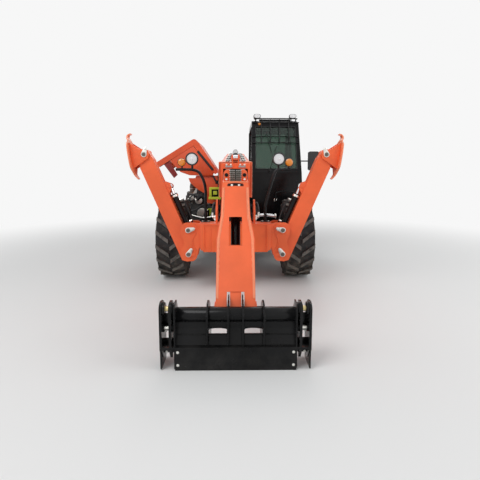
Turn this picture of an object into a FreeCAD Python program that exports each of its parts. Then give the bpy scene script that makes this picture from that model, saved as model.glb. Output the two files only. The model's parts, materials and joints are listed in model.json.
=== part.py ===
"""Telehandler with front stabiliser legs, as a parametric document.

Millimetres. +X is the machine's left (the cab's side), the front looks along -Y and +Z is up.
The origin lies on the ground, midway along the machine and on its centre plane.
Every size is a cell of the sheet, and every expression below names the cells that it uses.
"""
import FreeCAD, Part
import math
import os
import re
import sys

import Sketcher

# Each row holds the size's name and its value in millimetres, degrees or pieces.
SIZES = {
    "wheels and axles": (
        ("tyre_radius", 590), ("tyre_width", 430), ("tyre_shoulder", 188), ("tread_radius", 550),
        ("bulge_radius", 450), ("bead_radius", 306), ("bead_half_width", 150), ("lugs_a_side", 18),
        ("lug_width", 56), ("lug_slant", 36), ("lug_gap", 8), ("lug_root", 12),
        ("wheel_track", 1870), ("front_axle_y", -500), ("rear_axle_y", 2400),
        ("rim_wall", 14), ("rim_lip", 18), ("rim_disc_inset", 60), ("rim_disc_thickness", 18), ("rim_eye_radius", 110),
        ("hub_radius", 150), ("hub_length", 200), ("hub_face_x", -70), ("spindle_radius", 60),
        ("spindle_reach", 60), ("spindle_play", 0.5), ("axle_tube_radius", 85), ("axle_yoke_height", 150),
        ("kingpin_x", 760), ("kingpin_radius", 32), ("yoke_plate", 36), ("yoke_play", 4), ("knuckle_radius", 75),
        ("differential_radius", 195), ("differential_width", 260),
    ),
    "frame": (
        ("frame_inner", 240), ("frame_plate", 25), ("frame_front_y", -1200), ("frame_rear_y", 3050),
        ("frame_top_z", 950), ("frame_low_z", 420), ("frame_over_axle_z", 720),
        ("belly_front_y", 0), ("belly_rear_y", 1850), ("belly_slope", 180),
        ("boom_pivot_y", 2600), ("boom_pivot_z", 1830), ("tower_head_radius", 150),
        ("cross_plate", 20), ("tower_foot_y", 1750), ("weight_rear_y", 3300), ("weight_half_width", 620),
        ("weight_low_z", 640), ("weight_top_z", 1240), ("weight_corner", 120),
        ("bracket_height", 90), ("bracket_plate", 60),
    ),
    "front beam": (
        ("beam_front_y", -1460), ("beam_half_width", 470), ("beam_low_z", 560), ("beam_top_z", 930),
        ("beam_corner", 60), ("leg_pin_x", 609), ("leg_pin_z", 535), ("ram_pin_z", 850),
        ("pivot_plate", 25), ("pivot_waist", 52), ("pivot_lobe", 95), ("pivot_pin_radius", 30), ("flag_length", 90),
        ("flag_width", 34), ("flag_thickness", 6), ("gusset_height", 300), ("gusset_inner", 235),
    ),
    "stabiliser legs": (
        ("leg_length", 1393), ("leg_lean", 23.25), ("leg_depth", 150), ("leg_width", 200),
        ("leg_heel", 100), ("leg_offset", 22), ("leg_play", 8), ("leg_ram_reach", 900), ("leg_ram_offset", 124),
        ("leg_barrel_radius", 38), ("leg_barrel_length", 500), ("leg_rod_radius", 20),
        ("leg_eye_radius", 36), ("leg_eye_width", 92), ("leg_lug_plate", 14), ("leg_ram_pin", 18), ("leg_rod_inside", 540),
        ("foot_reach", 158), ("foot_length", 610), ("foot_depth", 330), ("foot_plate", 20),
        ("foot_tilt", 14), ("foot_cheek", 16), ("foot_pin_radius", 24), ("foot_low_end", 296),
    ),
    "boom": (
        ("boom_angle", 5), ("outer_half_width", 200), ("outer_half_height", 220), ("outer_wall", 12),
        ("outer_rear", 220), ("outer_front", 3900), ("collar_length", 130), ("collar_wall", 12),
        ("mid_half_width", 172), ("mid_low", 194), ("mid_high", 165), ("mid_wall", 12),
        ("mid_rear", 300), ("mid_front", 3985), ("mid_collar", 60),
        ("inner_half_width", 144), ("inner_low", 168), ("inner_high", 92), ("inner_wall", 12),
        ("inner_rear", 450), ("inner_front", 4090), ("slide_play", 0.5), ("slide_pad_length", 110),
        ("slide_pad_width", 70), ("boom_pin_radius", 45), ("boom_boss_radius", 90),
        ("extend_z", 290), ("extend_barrel_radius", 52), ("extend_barrel_rear", 420),
        ("extend_barrel_front", 3600), ("extend_rod_radius", 27), ("extend_rod_rear", 1750),
        ("extend_eye_radius", 42), ("extend_pin_radius", 20), ("clevis_half_gap", 32), ("clevis_plate", 16),
    ),
    "head": (
        ("head_top_y", 4942), ("head_top_z", 84), ("head_knee_y", 5000), ("head_knee_z", -330),
        ("head_neck_y", 4600), ("head_wide_z", -470), ("head_top_half", 150), ("head_wide_half", 233),
        ("head_foot_half", 190), ("head_plate", 20), ("head_nose_radius", 72),
        ("tip_pivot_y", 5743), ("tip_pivot_z", -933), ("tip_pin_radius", 32), ("head_boss_inner", 76),
        ("head_boss_outer", 214), ("head_window_half", 62), ("head_window_top", -330),
        ("head_window_low", -560), ("head_slot_rise", 150),
    ),
    "boom rams": (
        ("ram_play", 2), ("pin_head", 10), ("ram_fit", 0.5), ("lift_pin_radius", 32), ("tip_ram_pin", 22),
        ("lift_base_y", 1100), ("lift_base_z", 580), ("lift_eye_y", 780), ("lift_eye_z", -330),
        ("lift_barrel_radius", 70), ("lift_barrel_length", 930), ("lift_rod_radius", 42),
        ("lift_eye_radius", 62), ("lift_eye_width", 156), ("lift_lug_plate", 24), ("lift_rod_inside", 1040),
        ("tip_base_y", 4960), ("tip_base_z", -150), ("tip_eye_back", 155), ("tip_eye_down", 184),
        ("tip_barrel_radius", 48), ("tip_barrel_length", 720), ("tip_rod_radius", 28),
        ("tip_eye_radius", 42), ("tip_eye_width", 100), ("tip_rod_inside", 640),
    ),
    "coupler": (
        ("coupler_half_width", 605), ("coupler_front", 262), ("coupler_low", 399), ("coupler_high", 150),
        ("coupler_tube_radius", 50), ("coupler_tube_y", 130), ("coupler_tube_z", 15),
        ("coupler_rib", 15), ("coupler_inner_rib", 52), ("coupler_outer_rib", 222),
        ("ear_plate", 20), ("ear_gap", 55), ("ear_width", 130), ("hook_pin_z", 90), ("hook_pin_radius", 20),
        ("face_half_width", 485), ("face_height", 170), ("face_plate", 25),
        ("coupler_rib_top", 112), ("shelf_plate", 20), ("shelf_depth", 110),
    ),
    "cab": (
        ("cab_inner_x", 290), ("cab_outer_x", 1180), ("cab_front_y", 260), ("cab_rear_y", 1650),
        ("cab_floor_z", 480), ("cab_roof_z", 2510), ("cab_waist_z", 1400), ("screen_foot_z", 1600),
        ("screen_lean", 150), ("rear_lean", 70), ("side_lean", 70), ("cab_wall", 40), ("cab_post", 60),
        ("cab_roof_corner", 70), ("glass_depth", 12), ("glass_thickness", 6), ("cab_sill_z", 1240),
        ("door_front_y", 400), ("door_rear_y", 1380), ("door_low_z", 560), ("door_top_z", 2400),
        ("door_play", 6), ("door_frame", 55), ("door_hinge_out", 16), ("door_hinge_radius", 12),
        ("roof_bar_radius", 14), ("seat_x", 735), ("seat_y", 1150), ("seat_z", 1000), ("seat_width", 480),
        ("console_y", 560), ("wheel_rim_radius", 185), ("wheel_rim_tube", 14), ("wheel_stem", 110), ("wheel_rise", 290),
    ),
    "engine bay": (
        ("pod_inner_x", 290), ("pod_outer_x", 1000), ("pod_front_y", 260), ("pod_rear_y", 1650),
        ("pod_floor_z", 640), ("pod_floor_plate", 30), ("hinge_x", 300), ("hinge_z", 1580),
        ("bulkhead_plate", 20), ("hood_open", 57), ("hood_top", 730), ("hood_side", 800), ("hood_sheet", 6),
        ("hood_band", 95), ("hood_corner", 60), ("hinge_radius", 12),
        ("strut_base_z", 1430), ("strut_base_x", 340), ("strut_reach", 450), ("strut_drop", 60),
        ("strut_barrel_radius", 14), ("strut_rod_radius", 7), ("strut_barrel_length", 330), ("strut_rod_inside", 290),
        ("strut_y", 300), ("engine_front_y", 560), ("engine_rear_y", 1280), ("engine_low_z", 680),
        ("engine_top_z", 1180), ("engine_inner_x", 420), ("engine_outer_x", 800),
        ("radiator_y", 1440), ("radiator_thickness", 90), ("tank_low_z", 430), ("tank_length", 900),
    ),
    "lamps and trim": (
        ("lamp_x", 572), ("lamp_y", -1240), ("lamp_z", 1765), ("lamp_radius", 78), ("lamp_depth", 60),
        ("signal_x", 708), ("signal_z", 1720), ("signal_half", 38), ("stalk_radius", 14),
        ("stalk_foot_x", 400), ("roof_lamp_radius", 42), ("beacon_radius", 45), ("beacon_height", 110),
        ("mirror_width", 190), ("mirror_height", 330), ("mirror_out", 190), ("step_radius", 16),
    ),
}

doc = FreeCAD.newDocument("Telehandler")
sheet = doc.addObject("Spreadsheet::Sheet", "Dims")


def fill_sheet():
    """Writes every size into the sheet, one row each, with its name as the cell's alias."""
    row = 1
    for group, sizes in SIZES.items():
        sheet.set(f"A{row}", group)
        for name, size in sizes:
            row += 1
            sheet.set(f"A{row}", name)
            sheet.set(f"B{row}", str(size))
            sheet.setAlias(f"B{row}", name)
        row += 1
    doc.recompute()


NAMES = {name for sizes in SIZES.values() for name, _ in sizes}


def bound(text):
    """The expression with each size's name pointed at its cell."""
    return re.sub(r"[a-z_]\w*", lambda m: "Dims." + m[0] if m[0] in NAMES else m[0], str(text))


def number(text):
    """The expression's value now."""
    result = sheet.evalExpression(bound(text))
    return float(getattr(result, "Value", result))


def bind(thing, **sizes):
    """Binds properties to expressions; a double underscore stands for a dot."""
    for prop, text in sizes.items():
        thing.setExpression(prop.replace("__", "."), bound(text))
    return thing


def place(thing, at=(0, 0, 0), axis=None, turn="0"):
    """Moves a finished piece to a point and turns it about an axis through that point."""
    if axis:
        thing.Placement = FreeCAD.Placement(FreeCAD.Vector(), FreeCAD.Rotation(FreeCAD.Vector(*axis), 30))
        bind(thing, Placement__Rotation__Angle=turn)
    return bind(thing, Placement__Base__x=at[0], Placement__Base__y=at[1], Placement__Base__z=at[2])


# Plain pieces: boxes, rods and tubes

X_AXIS, Y_AXIS, Z_AXIS = (1, 0, 0), (0, 1, 0), (0, 0, 1)


def box(name, x, y, z):
    """A block between two expressions along each axis."""
    block = doc.addObject("Part::Box", name)
    bind(block, Length=f"({x[1]})-({x[0]})", Width=f"({y[1]})-({y[0]})", Height=f"({z[1]})-({z[0]})")
    return place(block, (x[0], y[0], z[0]))


def rod(name, along, start, length, radius):
    """A round bar that starts at a point and runs along X, Y or Z."""
    bar = doc.addObject("Part::Cylinder", name)
    bind(bar, Radius=radius, Height=length)
    turns = {"x": (Y_AXIS, "90"), "y": (X_AXIS, "-90"), "z": (None, "0")}
    axis, turn = turns[along]
    return place(bar, start, axis, turn)


def fuse(name, *pieces):
    """Joins pieces, or keeps them as one group of solids where they don't touch."""
    joined = doc.addObject("Part::MultiFuse", name)
    joined.Shapes = list(pieces)
    joined.Refine = True
    return joined


def cut(name, base, *tools):
    """The base without the tools."""
    left = doc.addObject("Part::Cut", name)
    left.Base = base
    left.Tool = tools[0] if len(tools) == 1 else fuse(name + "_tools", *tools)
    left.Refine = True
    return left


def common(name, *pieces):
    """What all the pieces share."""
    shared = doc.addObject("Part::MultiCommon", name)
    shared.Shapes = list(pieces)
    shared.Refine = True
    return shared


def mirror(name, piece):
    """The same piece on the other side of the machine's centre plane."""
    copy = doc.addObject("Part::Mirroring", name)
    copy.Source = piece
    copy.Normal = FreeCAD.Vector(*X_AXIS)
    copy.Base = FreeCAD.Vector()
    return copy


def tube(name, along, start, length, radius, bore):
    """A round bar with a bore through it."""
    return cut(name, rod(name + "_bar", along, start, length, radius),
               rod(name + "_bore", along, start, length, bore))


# Padded and turned profiles

PLANES = {"yz": "YZ_Plane", "xz": "XZ_Plane", "xy": "XY_Plane"}


def sketch_on(body, plane, offset="0"):
    """A sketch on one of the body's own planes, lifted off it by an expression."""
    sketch = body.newObject("Sketcher::SketchObject", body.Name + "_outline")
    role = PLANES[plane]
    sketch.AttachmentSupport = [(next(o for o in body.Origin.OriginFeatures if o.Role == role), "")]
    sketch.MapMode = "FlatFace"
    return bind(sketch, AttachmentOffset__Base__z=offset)


def draw(sketch, points, holes=()):
    """A closed outline of straight edges through the points, with round holes (u, v, radius)."""
    spots = [(number(u), number(v)) for u, v in points]
    count = len(spots)
    first = sketch.GeometryCount
    for here, (u, v) in enumerate(spots):
        end = spots[(here + 1) % count]
        sketch.addGeometry(Part.LineSegment(FreeCAD.Vector(u, v, 0), FreeCAD.Vector(*end, 0)))
    for here in range(count):
        after = first + (here + 1) % count
        sketch.addConstraint(Sketcher.Constraint("Coincident", first + here, 2, after, 1))
    for here, (u, v) in enumerate(points):
        for kind, text, size in (("DistanceX", u, spots[here][0]), ("DistanceY", v, spots[here][1])):
            index = sketch.addConstraint(Sketcher.Constraint(kind, -1, 1, first + here, 1, size))
            sketch.setExpression(f"Constraints[{index}]", bound(text))
    for u, v, radius in holes:
        spot = FreeCAD.Vector(number(u), number(v), 0)
        ring = sketch.addGeometry(Part.Circle(spot, FreeCAD.Vector(*Z_AXIS), number(radius)))
        for kind, text, size in (("DistanceX", u, spot.x), ("DistanceY", v, spot.y)):
            index = sketch.addConstraint(Sketcher.Constraint(kind, -1, 1, ring, 3, size))
            sketch.setExpression(f"Constraints[{index}]", bound(text))
        index = sketch.addConstraint(Sketcher.Constraint("Radius", ring, number(radius)))
        sketch.setExpression(f"Constraints[{index}]", bound(radius))


def corner_edges(shape, plane, spots):
    """Names of the edges that run square to the plane through the given corners."""
    pick = {"yz": lambda p: (p.y, p.z), "xz": lambda p: (p.x, p.z), "xy": lambda p: (p.x, p.y)}[plane]
    names = []
    for index, edge in enumerate(shape.Edges, 1):
        ends = [pick(v.Point) for v in edge.Vertexes]
        if len(ends) == 2 and math.dist(*ends) < 0.01 and any(math.dist(ends[0], s) < 0.05 for s in spots):
            names.append(f"Edge{index}")
    return names


def pad(name, plane, points, span, rounds=None, holes=()):
    """A plate or block: an outline padded from one expression to another along its normal.

    rounds maps a radius to the numbers of the corners that it rounds.
    """
    body = doc.addObject("PartDesign::Body", name)
    low, high = span
    offset = f"-({high})" if plane == "xz" else low
    sketch = sketch_on(body, plane, offset)
    draw(sketch, points, holes)
    solid = body.newObject("PartDesign::Pad", name + "_pad")
    solid.Profile = sketch
    bind(solid, Length=f"({high})-({low})")
    for radius, corners in (rounds or {}).items():
        doc.recompute()
        spots = [(number(points[c][0]), number(points[c][1])) for c in corners]
        fillet = body.newObject("PartDesign::Fillet", name + "_round")
        fillet.Base = (solid, corner_edges(solid.Shape, plane, spots))
        bind(fillet, Radius=radius)
        solid = fillet
    return body


def turned(name, points, plane="xy", axis="H_Axis"):
    """A ring or drum: a half profile turned about the sketch's own axis."""
    body = doc.addObject("PartDesign::Body", name)
    sketch = sketch_on(body, plane)
    draw(sketch, points)
    ring = body.newObject("PartDesign::Revolution", name + "_turn")
    ring.Profile = sketch
    ring.ReferenceAxis = (sketch, [axis])
    ring.Angle = 360
    return body


def span(side, low, high):
    """A stretch along X on the left side, or its mirror image on the right side."""
    return (low, high) if side > 0 else (f"-({high})", f"-({low})")


# Rams: a barrel and a rod between two pins, in the plane square to X or to Y

def aim(dy, dz):
    """The turn about X that points +Z along a direction in the YZ plane."""
    return f"atan2(-({dy});{dz})"


def length_of(du, dv):
    """The length of a direction in a plane."""
    return f"sqrt(({du})^2+({dv})^2)"


def ram_barrel(name, radius, length, eye_radius, eye_width, bore, pin):
    """A ram's tube with its base eye at the origin, running up +Z."""
    shell = rod(name + "_tube", "z", (0, 0, f"{eye_radius}*0.8"), f"({length})-{eye_radius}*0.8", radius)
    gland = rod(name + "_gland", "z", (0, 0, f"({length})-40"), "40", f"{radius}+6")
    eye = rod(name + "_eye", "x", (f"-({eye_width})/2", 0, 0), eye_width, eye_radius)
    bore_tool = rod(name + "_bore", "z", (0, 0, f"{eye_radius}*1.4"), length, bore)
    pin_hole = rod(name + "_hole", "x", (f"-({eye_width})", 0, 0), f"({eye_width})*2", pin)
    return cut(name + "_cut", fuse(name + "_body", shell, gland, eye), bore_tool, pin_hole)


def ram_rod(name, radius, length, inside, eye_radius, eye_width):
    """A ram's rod with its closed eye at the given distance up +Z from the barrel's base pin."""
    bar = rod(name + "_bar", "z", (0, 0, f"({length})-({inside})"), inside, radius)
    eye = rod(name + "_eye", "x", (f"-({eye_width})/2", 0, length), eye_width, eye_radius)
    return fuse(name + "_body", bar, eye)


def named(piece, label):
    """Keeps a piece as a sub-part of the machine under its file's name."""
    piece.Label = label
    PARTS.append(piece)
    return piece


PARTS = []



def faceted_ring(name, profile, flats):
    """A ring of flat facets about the X axis: a closed half profile of (x, radius of the flats) carried round."""
    half_turn = math.pi / flats
    rows = []
    for step in range(flats):
        angle = (2 * step + 1) * half_turn
        rows.append([FreeCAD.Vector(x, -radius / math.cos(half_turn) * math.sin(angle),
                                    radius / math.cos(half_turn) * math.cos(angle)) for x, radius in profile])
    facets = []
    for here, there in zip(rows, rows[1:] + rows[:1]):
        for low, high in zip(range(len(profile)), [*range(1, len(profile)), 0]):
            corners = [here[low], here[high], there[high], there[low], here[low]]
            facets.append(Part.Face(Part.makePolygon(corners)))
    ring = doc.addObject("Part::Feature", name)
    ring.Shape = Part.Solid(Part.Shell(facets)).removeSplitter()
    return ring


def make_tyre():
    """One tyre about the X axis, its outboard side at +X: a carcass with two rows of slanted lugs."""
    profile = [
        ("-bead_half_width", "bead_radius"), ("-bead_half_width", "bead_radius+rim_lip"),
        ("-tyre_width/2", "bulge_radius"), ("-tyre_shoulder", "tread_radius"), ("tyre_shoulder", "tread_radius"),
        ("tyre_width/2", "bulge_radius"), ("bead_half_width", "bead_radius+rim_lip"),
        ("bead_half_width", "bead_radius")]
    carcass = doc.addObject("PartDesign::Body", "tyre_form")
    carcass.BaseFeature = faceted_ring("tyre_carcass", [(number(x), number(radius)) for x, radius in profile],
                                       int(number("lugs_a_side*2")))
    shift = "tyre_shoulder*tan(lug_slant)/2"
    seat = "(tread_radius-lug_root)"
    for side, turn in ((1, "0"), (-1, "180/lugs_a_side")):
        sketch = sketch_on(carcass, "xy")
        sketch.AttachmentOffset = FreeCAD.Placement(FreeCAD.Vector(), FreeCAD.Rotation(FreeCAD.Vector(*X_AXIS), 1))
        bind(sketch, AttachmentOffset__Rotation__Angle=turn,
             AttachmentOffset__Base__y=f"-{seat}*sin({turn})", AttachmentOffset__Base__z=f"{seat}*cos({turn})")
        draw(sketch, [
            (f"{side}*lug_gap", f"-{shift}-lug_width/2"), (f"{side}*tyre_shoulder", f"{shift}-lug_width/2"),
            (f"{side}*tyre_shoulder", f"{shift}+lug_width/2"), (f"{side}*lug_gap", f"-{shift}+lug_width/2")])
        lug = carcass.newObject("PartDesign::Pad", "lug_pad")
        lug.Profile = sketch
        bind(lug, Length=f"sqrt(tyre_radius^2-({shift}+lug_width/2)^2)-{seat}")
        row = carcass.newObject("PartDesign::PolarPattern", "lug_row")
        row.Originals = [lug]
        row.Axis = (next(o for o in carcass.Origin.OriginFeatures if o.Role == "X_Axis"), [""])
        row.Angle = 360
        bind(row, Occurrences="lugs_a_side")
        carcass.Tip = row
    return carcass


def make_rim():
    """One rim with its dished disc and the hub drum, about the X axis, outboard at +X."""
    lip, wall = "(bead_radius+rim_lip)", "(bead_radius-rim_wall)"
    disc, back = "rim_disc_inset", "(rim_disc_inset-rim_disc_thickness)"
    rim = turned("rim_form", [
        ("-bead_half_width", "bead_radius"), ("bead_half_width", "bead_radius"),
        ("bead_half_width", lip), ("bead_half_width+12", lip), ("bead_half_width+12", wall),
        (f"{disc}+30", wall), (disc, "hub_radius+40"), (disc, "hub_radius-30"),
        (back, "hub_radius-30"), (back, "hub_radius+36"), (f"{back}+20", f"{wall}"),
        ("-bead_half_width-12", wall), ("-bead_half_width-12", lip), ("-bead_half_width", lip)])
    face = "(hub_face_x+hub_length)"
    hub = turned("hub_form", [
        ("hub_face_x", "spindle_radius+spindle_play"), ("hub_face_x", "hub_radius-30"),
        ("hub_face_x+25", "hub_radius"), (f"{face}-30", "hub_radius-30"), (face, "hub_radius-60"), (face, "0"),
        ("hub_face_x+spindle_reach+5", "0"), ("hub_face_x+spindle_reach+5", "spindle_radius+spindle_play")])
    return fuse("wheel_disc", rim, hub)


def make_knuckle():
    """One steering knuckle about its kingpin, the spindle towards +X."""
    gap = "(axle_yoke_height-yoke_plate-yoke_play)"
    post = rod("knuckle_post", "z", ("0", "0", f"-{gap}"), f"{gap}*2", "knuckle_radius")
    pin = rod("knuckle_pin", "z", ("0", "0", "-axle_yoke_height"), "axle_yoke_height*2", "kingpin_radius")
    spindle = rod("knuckle_spindle", "x", ("0", "0", "0"),
                  "wheel_track/2-kingpin_x+hub_face_x+spindle_reach", "spindle_radius")
    flange = rod("knuckle_flange", "x", ("0", "0", "0"), "wheel_track/2-kingpin_x+hub_face_x-5", "hub_radius-50")
    trimmed = cut("knuckle_flange_trim", flange,
                  box("knuckle_flange_cut", ("-200", "knuckle_radius-10"), ("-200", "200"), ("-200", "200")))
    arm = box("knuckle_arm", ("-10", "40"), ("0", "190"), ("-20", "20"))
    return fuse("knuckle_form", post, pin, spindle, trimmed, arm)


def wheel_set(tag, axle_y, side, tyre, rim, knuckle):
    """One corner of the machine: knuckle, rim and tyre, placed at its end of the axle."""
    turn = "0" if side > 0 else "180"
    at = (f"{side}*wheel_track/2", axle_y, "tyre_radius")
    for form, kind, spot in ((knuckle, "knuckle", (f"{side}*kingpin_x", axle_y, "tyre_radius")),
                             (rim, "rim", at), (tyre, "tyre", at)):
        source = form if side > 0 else mirror(f"{kind}_{tag}_mirror", form)
        piece = doc.addObject("Part::Compound", f"{kind}_{tag}_set")
        piece.Links = [source]
        named(place(piece, spot), f"{kind}_{tag}")


def make_wheels():
    tyre, rim, knuckle = make_tyre(), make_rim(), make_knuckle()
    for axle, axle_y in (("front", "front_axle_y"), ("rear", "rear_axle_y")):
        for side, hand in ((1, "left"), (-1, "right")):
            wheel_set(f"{axle}_{hand}", axle_y, side, tyre, rim, knuckle)


def make_axles():
    """Two rigid driving axles with a differential drum, frame pads and a yoke at each end."""
    for tag, axle_y in (("front", "front_axle_y"), ("rear", "rear_axle_y")):
        reach = "(kingpin_x-knuckle_radius-yoke_play)"
        beam = rod(f"{tag}_axle_tube", "x", (f"-{reach}", "0", "0"), f"{reach}*2", "axle_tube_radius")
        drum = turned(f"{tag}_drum", [
            ("-differential_width/2-90", "axle_tube_radius-5"), ("-differential_width/2", "differential_radius-30"),
            ("-differential_width/2+40", "differential_radius"), ("differential_width/2-40", "differential_radius"),
            ("differential_width/2", "differential_radius-30"), ("differential_width/2+90", "axle_tube_radius-5"),
            ("differential_width/2+90", "0"), ("-differential_width/2-90", "0")])
        nose = rod(f"{tag}_pinion", "y", ("0", "-differential_radius-90" if tag == "rear" else "0", "0"),
                   "differential_radius+90", "axle_tube_radius")
        pieces = [beam, drum, nose]
        for side in (1, -1):
            pieces.append(box(f"{tag}_pad", span(side, "frame_inner", "frame_inner+frame_plate"), ("-80", "80"),
                              ("0", "frame_over_axle_z-tyre_radius")))
            yoke = pad(f"{tag}_yoke", "xz", [
                (f"{side}*({reach}-60)", "-axle_tube_radius"), (f"{side}*{reach}", "-axle_yoke_height"),
                (f"{side}*(kingpin_x+50)", "-axle_yoke_height"),
                (f"{side}*(kingpin_x+50)", "-axle_yoke_height+yoke_plate"),
                (f"{side}*{reach}", "-axle_yoke_height+yoke_plate"),
                (f"{side}*{reach}", "axle_yoke_height-yoke_plate"),
                (f"{side}*(kingpin_x+50)", "axle_yoke_height-yoke_plate"),
                (f"{side}*(kingpin_x+50)", "axle_yoke_height"), (f"{side}*{reach}", "axle_yoke_height"),
                (f"{side}*({reach}-60)", "axle_tube_radius")], ("-55", "55"))
            pieces.append(yoke)
        bores = [rod(f"{tag}_king_bore", "z", (f"{side}*kingpin_x", "0", "-axle_yoke_height-10"),
                     "axle_yoke_height*2+20", "kingpin_radius+spindle_play") for side in (1, -1)]
        axle = cut(f"{tag}_axle_form", fuse(f"{tag}_axle_body", *pieces), *bores)
        named(place(axle, ("0", axle_y, "tyre_radius")), f"{tag}_axle")


def ground_spot(y, z):
    """Where a point of the boom's own frame lies on the machine, as a pair of expressions (y, z)."""
    return (f"(boom_pivot_y+({y})*cos(boom_angle)-({z})*sin(boom_angle))",
            f"(boom_pivot_z+({y})*sin(boom_angle)+({z})*cos(boom_angle))")


def make_frame():
    """Two side plates with the boom towers, cross plates, the belly plate, brackets and fixed pins."""
    outline = [
        ("frame_front_y", "frame_over_axle_z"), ("frame_front_y", "frame_top_z"), ("tower_foot_y", "frame_top_z"),
        ("boom_pivot_y-tower_head_radius", "boom_pivot_z-tower_head_radius"),
        ("boom_pivot_y-tower_head_radius", "boom_pivot_z+tower_head_radius"),
        ("boom_pivot_y+tower_head_radius", "boom_pivot_z+tower_head_radius"),
        ("boom_pivot_y+tower_head_radius", "boom_pivot_z-tower_head_radius"),
        ("frame_rear_y", "frame_top_z+150"), ("frame_rear_y", "frame_over_axle_z"),
        ("belly_rear_y+belly_slope", "frame_over_axle_z"), ("belly_rear_y", "frame_low_z"),
        ("belly_front_y", "frame_low_z"), ("belly_front_y-belly_slope", "frame_over_axle_z")]
    outer = "frame_inner+frame_plate"
    plates = [pad("frame_side", "yz", outline, span(side, "frame_inner", outer),
                  {"tower_head_radius*0.95": (4, 5)}) for side in (1, -1)]
    across = ("-frame_inner", "frame_inner")
    crosses = [
        box("frame_nose", across, ("frame_front_y", "frame_front_y+cross_plate"), ("frame_over_axle_z", "frame_top_z")),
        box("frame_tail", across, ("frame_rear_y-cross_plate", "frame_rear_y"), ("frame_over_axle_z", "frame_top_z")),
        box("frame_belly", across, ("belly_front_y", "belly_rear_y"), ("frame_low_z", "frame_low_z+cross_plate")),
        box("frame_brace", across, ("boom_pivot_y+330", "boom_pivot_y+330+cross_plate"),
            ("frame_top_z", "frame_top_z+300")),
        box("frame_deck", across, ("belly_rear_y+belly_slope", "boom_pivot_y"),
            ("frame_over_axle_z+110", "frame_over_axle_z+110+cross_plate")),
    ]
    lugs = [pad("lift_lug", "yz", [
        ("lift_base_y-150", "frame_low_z+cross_plate"), ("lift_base_y-60", "lift_base_z+lift_eye_radius"),
        ("lift_base_y+60", "lift_base_z+lift_eye_radius"), ("lift_base_y+150", "frame_low_z+cross_plate")],
        span(side, "lift_eye_width/2+ram_play", "lift_eye_width/2+ram_play+lift_lug_plate"), {"45": (1, 2)})
        for side in (1, -1)]
    pins = [
        rod("boom_pivot_pin", "x", ("-frame_inner-frame_plate-18", "boom_pivot_y", "boom_pivot_z"),
            "(frame_inner+frame_plate+18)*2", "boom_pin_radius"),
        rod("lift_base_pin", "x", ("-lift_eye_width/2-ram_play-lift_lug_plate-12", "lift_base_y", "lift_base_z"),
            "(lift_eye_width/2+ram_play+lift_lug_plate+12)*2", "lift_pin_radius")]
    spacers = []
    for side in (1, -1):
        ring = tube("boom_spacer", "x", (span(side, "outer_half_width+ram_play", "frame_inner")[0],
                                         "boom_pivot_y", "boom_pivot_z"),
                    "frame_inner-outer_half_width-ram_play", "boom_boss_radius", "boom_pin_radius")
        spacers.append(ring)
    brackets = []
    for side, top in ((1, "cab_floor_z"), (-1, "pod_floor_z")):
        reach = "cab_outer_x-60" if side > 0 else "pod_outer_x-40"
        for y in ("cab_front_y+220", "cab_rear_y-280"):
            brackets.append(box("frame_bracket", span(side, outer, reach), (y, f"{y}+bracket_plate"),
                                (f"{top}-bracket_height", top)))
    named(fuse("frame_form", *plates, *crosses, *lugs, *pins, *spacers, *brackets), "chassis_frame")


def make_counterweight():
    """The cast block across the tail, with a towing jaw."""
    half = "weight_half_width"
    block = pad("weight_block", "xy", [
        (f"-{half}", "frame_rear_y"), (f"-{half}", "weight_rear_y"), (half, "weight_rear_y"), (half, "frame_rear_y")],
        ("weight_low_z", "weight_top_z"), {"weight_corner": (1, 2)})
    slot = box("weight_slot", ("-70", "70"), ("weight_rear_y-110", "weight_rear_y+10"),
               ("weight_low_z+60", "weight_low_z+150"))
    named(cut("weight_form", block, slot), "counterweight")


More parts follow.
